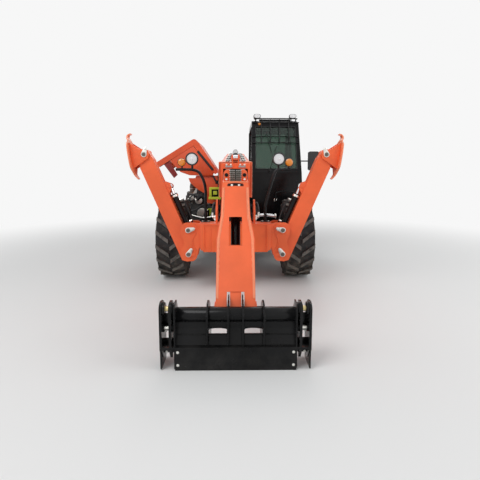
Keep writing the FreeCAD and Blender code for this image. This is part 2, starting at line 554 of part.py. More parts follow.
def make_front_beam():
    """The beam across the nose: a closed box, two plates at each end and the legs' fixed pins."""
    low, top, half = "beam_low_z", "beam_top_z", "beam_half_width"
    core = pad("beam_box", "xz", [
        (f"-{half}", f"{low}+beam_corner"), (f"-{half}+beam_corner", low), (f"{half}-beam_corner", low),
        (half, f"{low}+beam_corner"), (half, top), (f"-{half}", top)], ("beam_front_y", "frame_front_y"))
    pieces = [core]
    for side in (1, -1):
        x = [f"{side}*({text})" for text in (
            half, "leg_pin_x-pivot_lobe", "leg_pin_x+pivot_lobe", "leg_pin_x+pivot_lobe", "leg_pin_x+pivot_waist",
            "leg_pin_x+pivot_lobe", "leg_pin_x+pivot_lobe", "leg_pin_x-pivot_lobe", half)]
        z = (top, "ram_pin_z+pivot_lobe", "ram_pin_z+pivot_lobe", "ram_pin_z-pivot_lobe*0.6",
             "(ram_pin_z+leg_pin_z)/2", "leg_pin_z+pivot_lobe*0.6", "leg_pin_z-pivot_lobe",
             "leg_pin_z-pivot_lobe", f"{low}+beam_corner")
        for low_y, high_y in (("beam_front_y", "beam_front_y+pivot_plate"),
                              ("frame_front_y-pivot_plate", "frame_front_y")):
            pieces.append(pad("pivot_plate_form", "xz", list(zip(x, z)), (low_y, high_y),
                              {"pivot_lobe*0.8": (2, 6, 7), "pivot_lobe*0.5": (1,), "60": (4,)}))
        for z_pin in ("leg_pin_z", "ram_pin_z"):
            pieces.append(rod("leg_pivot_pin", "y", (f"{side}*leg_pin_x", "beam_front_y-10", z_pin),
                              "frame_front_y-beam_front_y+10", "pivot_pin_radius"))
        pieces.append(pad("boom_gusset", "yz", [
            ("beam_front_y+60", top), ("beam_front_y+60", f"{top}+gusset_height*0.5"),
            ("frame_front_y-60", f"{top}+gusset_height"), ("frame_front_y", f"{top}+gusset_height"),
            ("frame_front_y", top)], span(side, "gusset_inner", "gusset_inner+pivot_plate"), {"40": (2,)}))
    for side in (1, -1):
        for z_pin in ("leg_pin_z", "ram_pin_z"):
            pieces.append(pad("pin_flag", "xz", [
                (f"{side}*(leg_pin_x+pivot_pin_radius)", f"{z_pin}-flag_width"),
                (f"{side}*(leg_pin_x+pivot_pin_radius)", f"{z_pin}+flag_width"),
                (f"{side}*(leg_pin_x-flag_length)", f"{z_pin}+flag_width*0.45"),
                (f"{side}*(leg_pin_x-flag_length)", f"{z_pin}-flag_width*0.45")],
                ("beam_front_y-10-flag_thickness", "beam_front_y-10"),
                {"flag_width*0.3": (2, 3), "flag_width*0.7": (0, 1)}))
    named(fuse("front_beam_form", *pieces), "front_beam")


def make_legs():
    """Both stabiliser legs, each with its ram and swivelling foot, in the raised position."""
    inner, outer = "(leg_offset-leg_width/2)", "(leg_offset+leg_width/2)"
    middle_y = "((beam_front_y+frame_front_y)/2)"
    leg_y = (f"-leg_depth/2", "leg_depth/2")
    beam = pad("leg_beam", "xz", [
        (inner, "-leg_heel*0.6"), (f"{outer}-60", "-leg_heel"), (outer, "-leg_heel*0.5"),
        (outer, "leg_length-140"), ("50", "leg_length+56"), ("-50", "leg_length+56"), (inner, "leg_length-90")],
        leg_y, {"45": (4, 5)})
    lugs = [pad("leg_lug", "xz", [
        (inner, "leg_ram_reach-90"), ("-leg_ram_offset-20", "leg_ram_reach-30"),
        ("-leg_ram_offset-20", "leg_ram_reach+30"), (inner, "leg_ram_reach+90")],
        (f"{side}*(leg_eye_width/2+ram_play)" if side > 0 else "-(leg_eye_width/2+ram_play+leg_lug_plate)",
         "leg_eye_width/2+ram_play+leg_lug_plate" if side > 0 else "-(leg_eye_width/2+ram_play)"),
        {"25": (1, 2)}) for side in (1, -1)]
    lug_face = "(leg_eye_width/2+ram_play)"
    pins = [rod("leg_lug_pin", "y", ("-leg_ram_offset", low, "leg_ram_reach"), "leg_lug_plate+pin_head", "leg_ram_pin")
            for low in (lug_face, f"-{lug_face}-leg_lug_plate-pin_head")]
    foot_pin = rod("foot_pin", "y", ("0", "-leg_depth/2-leg_play-foot_cheek", "leg_length"),
                   "leg_depth+2*(leg_play+foot_cheek)", "foot_pin_radius")
    bore = rod("leg_bore", "y", ("0", "-leg_depth", "0"), "leg_depth*2", "pivot_pin_radius+spindle_play")
    leg = cut("leg_cut", fuse("leg_form", beam, *lugs, *pins, foot_pin), bore)
    leg_home = ("leg_pin_x", middle_y, "leg_pin_z")

    plate = pad("foot_pad", "xz", [
        ("foot_reach", "-foot_low_end"), ("foot_reach", "foot_length-foot_low_end"),
        ("foot_reach+foot_plate", "foot_length-foot_low_end"), ("foot_reach+foot_plate", "-foot_low_end")],
        ("-foot_depth/2", "foot_depth/2"), {"foot_plate*0.6": (2, 3)})
    cheeks = [pad("foot_cheek_form", "xz", [
        ("-50", "-50"), ("-50", "50"), ("40", "55"), ("foot_reach", "170"), ("foot_reach", "-170"), ("40", "-55")],
        ("leg_depth/2+leg_play", "leg_depth/2+leg_play+foot_cheek") if side > 0 else
        ("-leg_depth/2-leg_play-foot_cheek", "-leg_depth/2-leg_play"),
        {"40": (0, 1)}, [("0", "0", "foot_pin_radius+spindle_play")]) for side in (1, -1)]
    foot = fuse("foot_form", plate, *cheeks)
    foot_home = ("leg_pin_x+leg_length*sin(leg_lean)", middle_y, "leg_pin_z+leg_length*cos(leg_lean)")

    eye_x = "(leg_pin_x+leg_ram_reach*sin(leg_lean)-leg_ram_offset*cos(leg_lean))"
    eye_z = "(leg_pin_z+leg_ram_reach*cos(leg_lean)+leg_ram_offset*sin(leg_lean))"
    run = length_of(f"{eye_x}-leg_pin_x", f"{eye_z}-ram_pin_z")
    turn = f"atan2({eye_x}-leg_pin_x;{eye_z}-ram_pin_z)"
    barrel = ram_barrel("leg_barrel", "leg_barrel_radius", "leg_barrel_length", "leg_eye_radius", "leg_eye_width",
                        "leg_rod_radius+ram_fit", "pivot_pin_radius+spindle_play")
    rod_form = ram_rod("leg_rod", "leg_rod_radius", run, "leg_rod_inside", "leg_eye_radius", "leg_eye_width")
    ram_home = ("leg_pin_x", middle_y, "ram_pin_z")
    barrel_in_plane = quarter_turned("leg_barrel_turned", barrel)
    rod_in_plane = quarter_turned("leg_rod_turned", rod_form)
    for form, kind, home, lean in ((leg, "leg", leg_home, "leg_lean"), (foot, "foot", foot_home, "foot_tilt"),
                                   (barrel_in_plane, "leg_ram_barrel", ram_home, turn),
                                   (rod_in_plane, "leg_ram_rod", ram_home, turn)):
        left = doc.addObject("Part::Compound", f"{kind}_left_set")
        left.Links = [form]
        named(place(left, home, Y_AXIS, lean), f"{kind}_left")
        named(mirror(f"{kind}_right_set", left), f"{kind}_right")


def quarter_turned(name, piece):
    """The piece turned a quarter about Z, so that its pins run along Y instead of X."""
    turned_piece = doc.addObject("Part::Compound", name)
    turned_piece.Links = [piece]
    return place(turned_piece, ("0", "0", "0"), Z_AXIS, "90")


def boom_tube(name, half, low, high, wall, front, rear):
    """A box section that runs from front to rear along the boom's own Y axis."""
    outer = box(f"{name}_outside", (f"-{half}", half), (f"-({front})", f"-({rear})"), (f"-({low})", high))
    inner = box(f"{name}_inside", (f"-({half}-{wall})", f"{half}-{wall}"), (f"-({front})-10", f"-({rear})+10"),
                (f"-({low}-{wall})", f"{high}-{wall}"))
    return outer, inner


BOOM_HOME = ("0", "boom_pivot_y", "boom_pivot_z")


def on_boom(piece, label):
    """Places a piece of the boom's own frame on the machine."""
    return named(place(piece, BOOM_HOME, X_AXIS, "boom_angle"), label)


def make_outer_boom():
    """The hinged section: tube, front collar, pivot bosses, lift lugs and the extension ram's barrel."""
    half, height, wall = "outer_half_width", "outer_half_height", "outer_wall"
    outside, inside = boom_tube("outer_boom", half, height, height, wall, "outer_front", "-outer_rear")
    collar = box("outer_collar", (f"-{half}-collar_wall", f"{half}+collar_wall"),
                 ("-outer_front", "-outer_front+collar_length"), (f"-{height}-collar_wall", f"{height}+collar_wall"))
    bosses = rod("outer_boss", "x", (f"-{half}", "0", "0"), f"{half}*2", "boom_boss_radius")
    bore = rod("outer_bore", "x", (f"-{half}-20", "0", "0"), f"{half}*2+40", "boom_pin_radius+spindle_play")
    rear_open = box("outer_rear_cut", (f"-{half}-20", f"{half}+20"), ("outer_rear*0.45", "outer_rear+50"),
                    (f"-{height}-20", f"-{height}+140"))
    lug_x = "lift_eye_width/2+ram_play"
    lugs = [pad("boom_lift_lug", "yz", [
        ("-lift_eye_y-190", f"-{height}"), ("-lift_eye_y-60", "lift_eye_z-60"), ("-lift_eye_y+60", "lift_eye_z-60"),
        ("-lift_eye_y+190", f"-{height}")], span(side, lug_x, f"{lug_x}+lift_lug_plate"), {"50": (1, 2)})
        for side in (1, -1)]
    lift_pins = [rod("boom_lift_pin", "x", (span(side, lug_x, f"{lug_x}+lift_lug_plate+pin_head")[0],
                                            "-lift_eye_y", "lift_eye_z"), "lift_lug_plate+pin_head", "lift_pin_radius")
                 for side in (1, -1)]
    shell = cut("outer_shell", fuse("outer_solid", outside, collar), inside)
    outer = cut("outer_cut", fuse("outer_all", shell, bosses), bore, rear_open)
    on_boom(fuse("outer_form", outer, *lugs, *lift_pins), "boom_outer")

    barrel = tube("extend_barrel_tube", "y", ("0", "-extend_barrel_front", "extend_z"),
                  "extend_barrel_front-extend_barrel_rear", "extend_barrel_radius", "extend_rod_radius+ram_fit")
    cap = rod("extend_barrel_cap", "y", ("0", "-extend_barrel_rear-40", "extend_z"), "60", "extend_barrel_radius")
    feet = [box("extend_foot", ("-60", "60"), (f"-({y})-30", f"-({y})+30"), (height, "extend_z"))
            for y in ("extend_barrel_rear+60", "extend_barrel_front-60")]
    saddle = cut("extend_saddle", fuse("extend_feet", *feet),
                 rod("extend_saddle_bore", "y", ("0", "-extend_barrel_front", "extend_z"),
                     "extend_barrel_front", "extend_barrel_radius-1"))
    on_boom(fuse("extend_barrel_form", barrel, cap, saddle), "extend_ram_barrel")

    low_gap, side_gap = "outer_half_height-outer_wall-mid_low", "outer_half_width-outer_wall-mid_half_width"
    pads = []
    for side in (1, -1):
        for low, high in (("-mid_low+10", "-mid_low+10+slide_pad_width"),
                          ("mid_high-10-slide_pad_width", "mid_high-10")):
            pads.append(box("outer_side_pad", span(side, "mid_half_width+slide_play", "outer_half_width-outer_wall"),
                            ("-outer_front+5", "-outer_front+5+slide_pad_length"), (low, high)))
        pads.append(box("outer_low_pad", span(side, "mid_half_width-30-slide_pad_width", "mid_half_width-30"),
                        ("-outer_front+5", "-outer_front+5+slide_pad_length"),
                        ("-(outer_half_height-outer_wall)", "-mid_low-slide_play")))
        pads.append(box("outer_high_pad", span(side, "mid_half_width-30-slide_pad_width", "mid_half_width-30"),
                        ("-outer_front+5", "-outer_front+5+slide_pad_length"),
                        ("mid_high+slide_play", "outer_half_height-outer_wall")))
    on_boom(fuse("outer_pads_form", *pads), "outer_wear_pads")


def make_mid_boom():
    """The middle section with its collar, the clevis for the extension ram, the rod and the chains."""
    half, low, high, wall = "mid_half_width", "mid_low", "mid_high", "mid_wall"
    outside, inside = boom_tube("mid_boom", half, low, high, wall, "mid_front", "mid_rear")
    collar = box("mid_collar_block", (f"-{half}-16", f"{half}+16"), ("-mid_front", "-mid_front+mid_collar"),
                 (f"-{low}-10", f"{high}+60"))
    cheeks = [box("mid_clevis", span(side, "clevis_half_gap", "clevis_half_gap+clevis_plate"),
                  ("-mid_front", "-mid_front+mid_collar"), (high, "extend_z+extend_eye_radius"))
              for side in (1, -1)]
    pin = rod("mid_clevis_pin", "x", ("-clevis_half_gap-clevis_plate-8", "-mid_front+mid_collar/2", "extend_z"),
              "(clevis_half_gap+clevis_plate+8)*2", "extend_pin_radius")
    shell = cut("mid_shell", fuse("mid_solid", outside, collar), inside)
    on_boom(fuse("mid_form", shell, *cheeks, pin), "boom_mid")

    eye_y = "(-mid_front+mid_collar/2)"
    bar = rod("extend_rod_bar", "y", ("0", f"{eye_y}+25", "extend_z"), f"-extend_rod_rear-{eye_y}-25",
              "extend_rod_radius")
    eye = rod("extend_rod_eye", "x", ("-clevis_half_gap+ram_play", eye_y, "extend_z"),
              "(clevis_half_gap-ram_play)*2", "extend_eye_radius-6")
    hole = rod("extend_rod_hole", "x", ("-100", eye_y, "extend_z"), "200", "extend_pin_radius")
    on_boom(cut("extend_rod_form", fuse("extend_rod_all", bar, eye), hole), "extend_ram_rod")

    pads = []
    for side in (1, -1):
        for low_z, high_z in (("-inner_low+10", "-inner_low+10+slide_pad_width"),
                              ("inner_high-10-slide_pad_width", "inner_high-10")):
            pads.append(box("mid_side_pad", span(side, "inner_half_width+slide_play", "mid_half_width-mid_wall"),
                            ("-mid_front+5", "-mid_front+5+slide_pad_length"), (low_z, high_z)))
        pads.append(box("mid_low_pad", span(side, "inner_half_width-20-slide_pad_width", "inner_half_width-20"),
                        ("-mid_front+5", "-mid_front+5+slide_pad_length"),
                        ("-(mid_low-mid_wall)", "-inner_low-slide_play")))
        pads.append(box("mid_high_pad", span(side, "inner_half_width-20-slide_pad_width", "inner_half_width-20"),
                        ("-mid_front+5", "-mid_front+5+slide_pad_length"),
                        ("inner_high+slide_play", "mid_high-mid_wall")))
    on_boom(fuse("mid_pads_form", *pads), "mid_wear_pads")


def make_inner_boom():
    """The innermost section, which carries the head."""
    outside, inside = boom_tube("inner_boom", "inner_half_width", "inner_low", "inner_high", "inner_wall",
                                "inner_front", "inner_rear")
    on_boom(cut("inner_form", outside, inside), "boom_inner")


def head_side(name, inset, span_x, open_back="0"):
    """The head's side view, drawn in by a wall's thickness; an open back reaches out past the plates."""
    nose = f"(head_nose_radius-{inset})"
    return pad(name, "yz", [
        (f"-inner_front+{open_back}", f"head_top_z-{inset}"), (f"-head_top_y+{inset}*0.4", f"head_top_z-{inset}"),
        (f"-tip_pivot_y-{nose}", f"tip_pivot_z+{nose}*0.4"), (f"-tip_pivot_y-{nose}", f"tip_pivot_z-{nose}"),
        (f"-tip_pivot_y+{nose}+{open_back}*2", f"tip_pivot_z-{nose}-{open_back}"),
        (f"-head_knee_y+{inset}+{open_back}*3", f"head_knee_z-{open_back}*3"),
        (f"-head_neck_y", f"-inner_low+{inset}"), (f"-inner_front+{open_back}", f"-inner_low+{inset}")],
        span_x, {f"{nose}*0.9": (3, 4) if open_back == "0" else (3,)})


def head_front(name, inset, reach):
    """The head's front view, padded along the boom."""
    widths = (("head_top_z+20", "head_top_half"), ("head_wide_z+60", "head_wide_half"),
              ("head_wide_z-60", "head_wide_half"), ("tip_pivot_z-head_nose_radius-20", "head_foot_half"))
    left = [(f"{w}-{inset}", z) for z, w in widths]
    right = [(f"-({w}-{inset})", z) for z, w in reversed(widths)]
    return pad(name, "xz", left + right, reach)


def make_head():
    """The cranked head: a hollow welded box that is open behind, with pivot bosses at its foot."""
    full = ("-head_wide_half", "head_wide_half")
    reach = ("-tip_pivot_y-head_nose_radius-20", "-inner_front+200")
    outer = common("head_outside", head_side("head_side_outside", "0", full), head_front("head_front_outside", "0", reach))
    inner = common("head_inside", head_side("head_side_inside", "head_plate", full, "40"),
                   head_front("head_front_inside", "head_plate", reach))
    window = box("head_window", ("-head_window_half", "head_window_half"),
                 ("-tip_pivot_y-head_nose_radius", "-head_knee_y-150"), ("head_window_low", "head_window_top"))
    slot = box("head_slot", ("-head_boss_inner", "head_boss_inner"),
               ("-tip_pivot_y-head_nose_radius-20", "-tip_pivot_y+head_slot_rise*2"),
               ("tip_pivot_z-head_nose_radius-20", "tip_pivot_z+head_slot_rise"))
    shell = cut("head_shell", outer, inner, window, slot)
    bosses = []
    for side in (1, -1):
        low, high = span(side, "head_boss_inner", "head_boss_outer")
        bosses.append(rod("head_boss", "x", (low, "-tip_pivot_y", "tip_pivot_z"), f"({high})-({low})",
                          "head_nose_radius"))
    base_cheeks = []
    for side in (1, -1):
        base_cheeks.append(pad("tip_base_cheek", "yz", [
            ("-tip_base_y-55", "tip_base_z-55"), ("-tip_base_y-55", "tip_base_z+60"),
            ("-tip_base_y+60", "head_top_z-head_plate"), ("-tip_base_y+200", "head_top_z-head_plate"),
            ("-tip_base_y+60", "tip_base_z-55")],
            span(side, "tip_eye_width/2+ram_play", "tip_eye_width/2+ram_play+16"), {"45": (0, 4)}))
    base_pin = rod("tip_base_pin", "x", ("-tip_eye_width/2-ram_play-16", "-tip_base_y", "tip_base_z"),
                   "(tip_eye_width/2+ram_play+16)*2", "tip_ram_pin")
    bore = rod("head_pivot_bore", "x", ("-400", "-tip_pivot_y", "tip_pivot_z"), "800", "tip_pin_radius+spindle_play")
    head = cut("head_cut", fuse("head_all", shell, *bosses, *base_cheeks, base_pin), bore)
    on_boom(head, "boom_head")


def make_boom_rams():
    """The lift ram under the boom and the tip ram in the head."""
    eye_y, eye_z = ground_spot("-lift_eye_y", "lift_eye_z")
    dy, dz = f"{eye_y}-lift_base_y", f"{eye_z}-lift_base_z"
    home = ("0", "lift_base_y", "lift_base_z")
    barrel = ram_barrel("lift_barrel", "lift_barrel_radius", "lift_barrel_length", "lift_eye_radius",
                        "lift_eye_width", "lift_rod_radius+ram_fit", "lift_pin_radius+spindle_play")
    named(place(barrel, home, X_AXIS, aim(dy, dz)), "lift_ram_barrel")
    rod_form = ram_rod("lift_rod", "lift_rod_radius", length_of(dy, dz), "lift_rod_inside", "lift_eye_radius-6",
                       "lift_eye_width")
    named(place(rod_form, home, X_AXIS, aim(dy, dz)), "lift_ram_rod")

    base_y, base_z = ground_spot("-tip_base_y", "tip_base_z")
    pivot_y, pivot_z = ground_spot("-tip_pivot_y", "tip_pivot_z")
    dy, dz = f"{pivot_y}+tip_eye_back-{base_y}", f"{pivot_z}-tip_eye_down-{base_z}"
    home = ("0", base_y, base_z)
    barrel = ram_barrel("tip_barrel", "tip_barrel_radius", "tip_barrel_length", "tip_eye_radius", "tip_eye_width",
                        "tip_rod_radius+ram_fit", "tip_ram_pin+spindle_play")
    named(place(barrel, home, X_AXIS, aim(dy, dz)), "tip_ram_barrel")
    rod_form = ram_rod("tip_rod", "tip_rod_radius", length_of(dy, dz), "tip_rod_inside", "tip_eye_radius",
                       "tip_eye_width")
    named(place(rod_form, home, X_AXIS, aim(dy, dz)), "tip_ram_rod")


def make_coupler():
    """The tool carrier, about its pivot: ribs, cross tube, hooked ears, shelf and face plate."""
    pivot_y, pivot_z = ground_spot("-tip_pivot_y", "tip_pivot_z")
    back = "(face_plate-coupler_front)"
    rib_outline = [
        (back, "coupler_tube_z+20"), ("-coupler_tube_y-30", "coupler_rib_top"), ("-60", "coupler_rib_top"),
        ("60", "48"), ("tip_eye_back+45", "-tip_eye_down+30"), ("tip_eye_back+45", "-tip_eye_down-48"),
        ("70", "-coupler_low+60"), ("0", "-coupler_low"), (back, "-coupler_low")]
    pieces = []
    for side in (1, -1):
        for low in ("coupler_inner_rib", "coupler_outer_rib"):
            pieces.append(pad("coupler_rib_form", "yz", rib_outline, span(side, low, f"{low}+coupler_rib"),
                              {"35": (1, 2, 4, 5)}))
        for low in ("coupler_half_width-ear_plate", "coupler_half_width-2*ear_plate-ear_gap"):
            pieces.append(pad("coupler_ear", "yz", [
                ("-coupler_front", "face_height-coupler_low"), ("-coupler_front", "coupler_high"),
                ("-coupler_front+ear_width", "coupler_high"), ("-coupler_front+ear_width+40", "-20"),
                ("-coupler_front+ear_width+20", "-140"), ("-coupler_front+60", "-coupler_low+80")],
                span(side, low, f"{low}+ear_plate"), {"ear_width*0.45": (1, 2)}))
        pieces.append(rod("hook_pin", "x", (
            span(side, "coupler_half_width-2*ear_plate-ear_gap", "0")[0] if side > 0 else "-coupler_half_width",
            "-coupler_front+ear_width/2", "hook_pin_z"), "2*ear_plate+ear_gap", "hook_pin_radius"))
    ear_inner = "coupler_half_width-2*ear_plate-ear_gap"
    pieces.append(rod("coupler_tube", "x", (f"-({ear_inner})-10", "-coupler_tube_y", "coupler_tube_z"),
                      f"({ear_inner})*2+20", "coupler_tube_radius"))
    pieces.append(box("coupler_face", ("-face_half_width", "face_half_width"), ("-coupler_front", back),
                      ("-coupler_low", "face_height-coupler_low")))
    pieces.append(box("coupler_shelf", ("-coupler_half_width", "coupler_half_width"),
                      ("-coupler_front", f"{back}+shelf_depth"),
                      ("face_height-coupler_low", "face_height-coupler_low+shelf_plate")))
    pieces.append(rod("coupler_pivot_pin", "x", ("-coupler_outer_rib-coupler_rib-10", "0", "0"),
                      "(coupler_outer_rib+coupler_rib+10)*2", "tip_pin_radius"))
    for side in (1, -1):
        low = span(side, "coupler_inner_rib", "coupler_inner_rib+coupler_rib+pin_head")[0]
        pieces.append(rod("coupler_ram_pin", "x", (low, "tip_eye_back", "-tip_eye_down"),
                          "coupler_rib+pin_head", "tip_ram_pin"))
    named(place(fuse("coupler_form", *pieces), ("0", pivot_y, pivot_z)), "coupler")


def cab_form(name, inset):
    """The cab's closed form, drawn in by an inset on every side."""
    i = f"({inset})"
    side = pad(f"{name}_side", "yz", [
        (f"cab_front_y+{i}", f"cab_floor_z+{i}"), (f"cab_front_y+{i}", "screen_foot_z"),
        (f"cab_front_y+screen_lean+{i}", f"cab_roof_z-{i}"), (f"cab_rear_y-rear_lean-{i}", f"cab_roof_z-{i}"),
        (f"cab_rear_y-{i}", "cab_sill_z"), (f"cab_rear_y-{i}", f"cab_floor_z+{i}")],
        (f"cab_inner_x+{i}", f"cab_outer_x-{i}"), {f"cab_roof_corner-{i}": (2, 3)})
    front = pad(f"{name}_front", "xz", [
        (f"cab_inner_x+{i}", f"cab_floor_z+{i}"), (f"cab_outer_x-{i}", f"cab_floor_z+{i}"),
        (f"cab_outer_x-{i}", "cab_sill_z"), (f"cab_outer_x-side_lean-{i}", f"cab_roof_z-{i}"),
        (f"cab_inner_x+{i}", f"cab_roof_z-{i}")], (f"cab_front_y+{i}", f"cab_rear_y-{i}"),
        {f"cab_roof_corner-{i}": (3,)})
    return common(name, side, front)


def make_cab():
    """The hollow cab with its door, panes, seat, console and roof guard."""
    shell = cut("cab_shell", cab_form("cab_outside", "0"), cab_form("cab_inside", "cab_wall"))
    low, high = "(cab_inner_x+cab_post)", "(cab_outer_x-side_lean-cab_post)"
    upper, under = "(cab_roof_z-cab_post-50)", "(screen_foot_z+cab_post)"
    windows = {
        "screen": pad("screen_hole", "xz", [(low, under), (f"{high}+30", under), (high, upper), (low, upper)],
                      ("cab_front_y-50", "cab_front_y+screen_lean+120"), {"cab_post": (0, 1, 2, 3)}),
        "back": pad("back_hole", "xz", [(low, under), (high, under), (high, upper), (low, upper)],
                    ("cab_rear_y-rear_lean-120", "cab_rear_y+50"), {"cab_post": (0, 1, 2, 3)}),
        "side": pad("side_hole", "yz", [
            ("cab_front_y+cab_post+50", under), ("cab_front_y+screen_lean+cab_post", upper),
            ("cab_rear_y-rear_lean-cab_post", upper), ("cab_rear_y-cab_post-20", under)],
            ("cab_inner_x-50", "cab_inner_x+120"), {"cab_post": (0, 1, 2, 3)}),
        "roof": pad("roof_hole", "xy", [
            (low, "cab_front_y+screen_lean+140"), (high, "cab_front_y+screen_lean+140"),
            (high, "cab_front_y+screen_lean+520"), (low, "cab_front_y+screen_lean+520")],
            ("cab_roof_z-80", "cab_roof_z+50"), {"cab_post": (0, 1, 2, 3)}),
    }
    doorway = box("doorway", ("cab_outer_x-side_lean-cab_wall-60", "cab_outer_x+30"),
                  ("door_front_y", "door_rear_y"), ("door_low_z", "door_top_z"))
    named(cut("cab_body_form", shell, *windows.values(), doorway), "cab_body")

    pane_shell = cut("pane_shell", cab_form("pane_outside", "glass_depth"),
                     cab_form("pane_inside", "glass_depth+glass_thickness"))
    panes = common("cab_panes", pane_shell, fuse("pane_holes", *windows.values()))
    named(cut("cab_glass_form", panes, doorway), "cab_glass")

    play = "door_play"
    door_space = box("door_space", ("cab_outer_x-side_lean-cab_wall-60", "cab_outer_x+30"),
                     (f"door_front_y+{play}", f"door_rear_y-{play}"), (f"door_low_z+{play}", f"door_top_z-{play}"))
    door_shell = common("door_shell", shell, door_space)
    out = ("cab_outer_x-side_lean-cab_wall-80", "cab_outer_x+60")
    front, rear = "(door_front_y+door_play+door_frame)", "(door_rear_y-door_play-door_frame)"
    door_windows = fuse("door_windows", *[
        pad("door_hole", "yz", [(front, bottom), (rear, bottom), (rear, top), (front, top)], out,
            {"40": (0, 1, 2, 3)})
        for bottom, top in (("cab_sill_z+60", "door_top_z-door_play-door_frame"),
                            ("door_low_z+door_play+door_frame", "cab_sill_z-20"))])
    named(cut("door_form", door_shell, door_windows), "cab_door")
    named(common("door_glass_form", pane_shell, door_windows), "door_glass")

    cushion = pad("seat_cushion", "yz", [
        ("seat_y-240", "seat_z-110"), ("seat_y-240", "seat_z"), ("seat_y+170", "seat_z-30"),
        ("seat_y+250", "seat_z+560"), ("seat_y+340", "seat_z+560"), ("seat_y+270", "seat_z-110")],
        ("seat_x-seat_width/2", "seat_x+seat_width/2"), {"35": (1, 3, 4)})
    named(cushion, "cab_seat")
    plinth = box("seat_plinth", ("seat_x-180", "seat_x+180"), ("seat_y-200", "seat_y+220"),
                 ("cab_floor_z+cab_wall", "seat_z-110"))
    column = pad("console_column", "yz", [
        ("console_y-110", "cab_floor_z+cab_wall"), ("console_y-150", "seat_z+150"), ("console_y+20", "seat_z+190"),
        ("console_y+90", "cab_floor_z+cab_wall")], ("seat_x-90", "seat_x+90"), {"30": (1, 2)})
    across, up = "wheel_rim_tube*0.5", "wheel_rim_tube*0.87"
    ring = turned("steering_ring", [
        ("wheel_rim_radius-wheel_rim_tube", "0"), (f"wheel_rim_radius-{across}", up),
        (f"wheel_rim_radius+{across}", up), ("wheel_rim_radius+wheel_rim_tube", "0"),
        (f"wheel_rim_radius+{across}", f"-{up}"), (f"wheel_rim_radius-{across}", f"-{up}")], "xz", "V_Axis")
    spoke = box("steering_spoke", ("-wheel_rim_radius", "wheel_rim_radius"), ("-18", "18"), ("-10", "4"))
    stem = rod("steering_stem", "z", ("0", "0", "-wheel_stem"), "wheel_stem+6", "24")
    steering = fuse("steering_form", ring, spoke, stem)
    place(steering, ("seat_x", "console_y+20", "seat_z+wheel_rise"), X_AXIS, "-30")
    named(fuse("cab_console_form", plinth, column, steering), "cab_console")

    bars = [rod("roof_bar", "y", (f"cab_inner_x+{x}", "cab_front_y+screen_lean+40", "cab_roof_z+roof_bar_radius+0.3"),
                "560", "roof_bar_radius") for x in ("170", "330", "490", "650")]
    cross = [rod("roof_cross_bar", "x", ("cab_inner_x+130", y, "cab_roof_z+roof_bar_radius+0.3"), "560",
                 "roof_bar_radius") for y in ("cab_front_y+screen_lean+60", "cab_front_y+screen_lean+580")]
    x = ("cab_outer_x-20", "cab_outer_x+20")
    legs = [box("step_leg", x, (y, f"{y}+24"), ("cab_floor_z-200", "cab_floor_z")) for y in
            ("door_front_y+120", "door_rear_y-300")]
    tread = box("step_tread", ("cab_outer_x-60", "cab_outer_x+20"), ("door_front_y+120", "door_rear_y-276"),
                ("cab_floor_z-200", "cab_floor_z-176"))
    named(fuse("cab_guards_form", *bars, *cross, *legs, tread), "cab_guard_and_step")


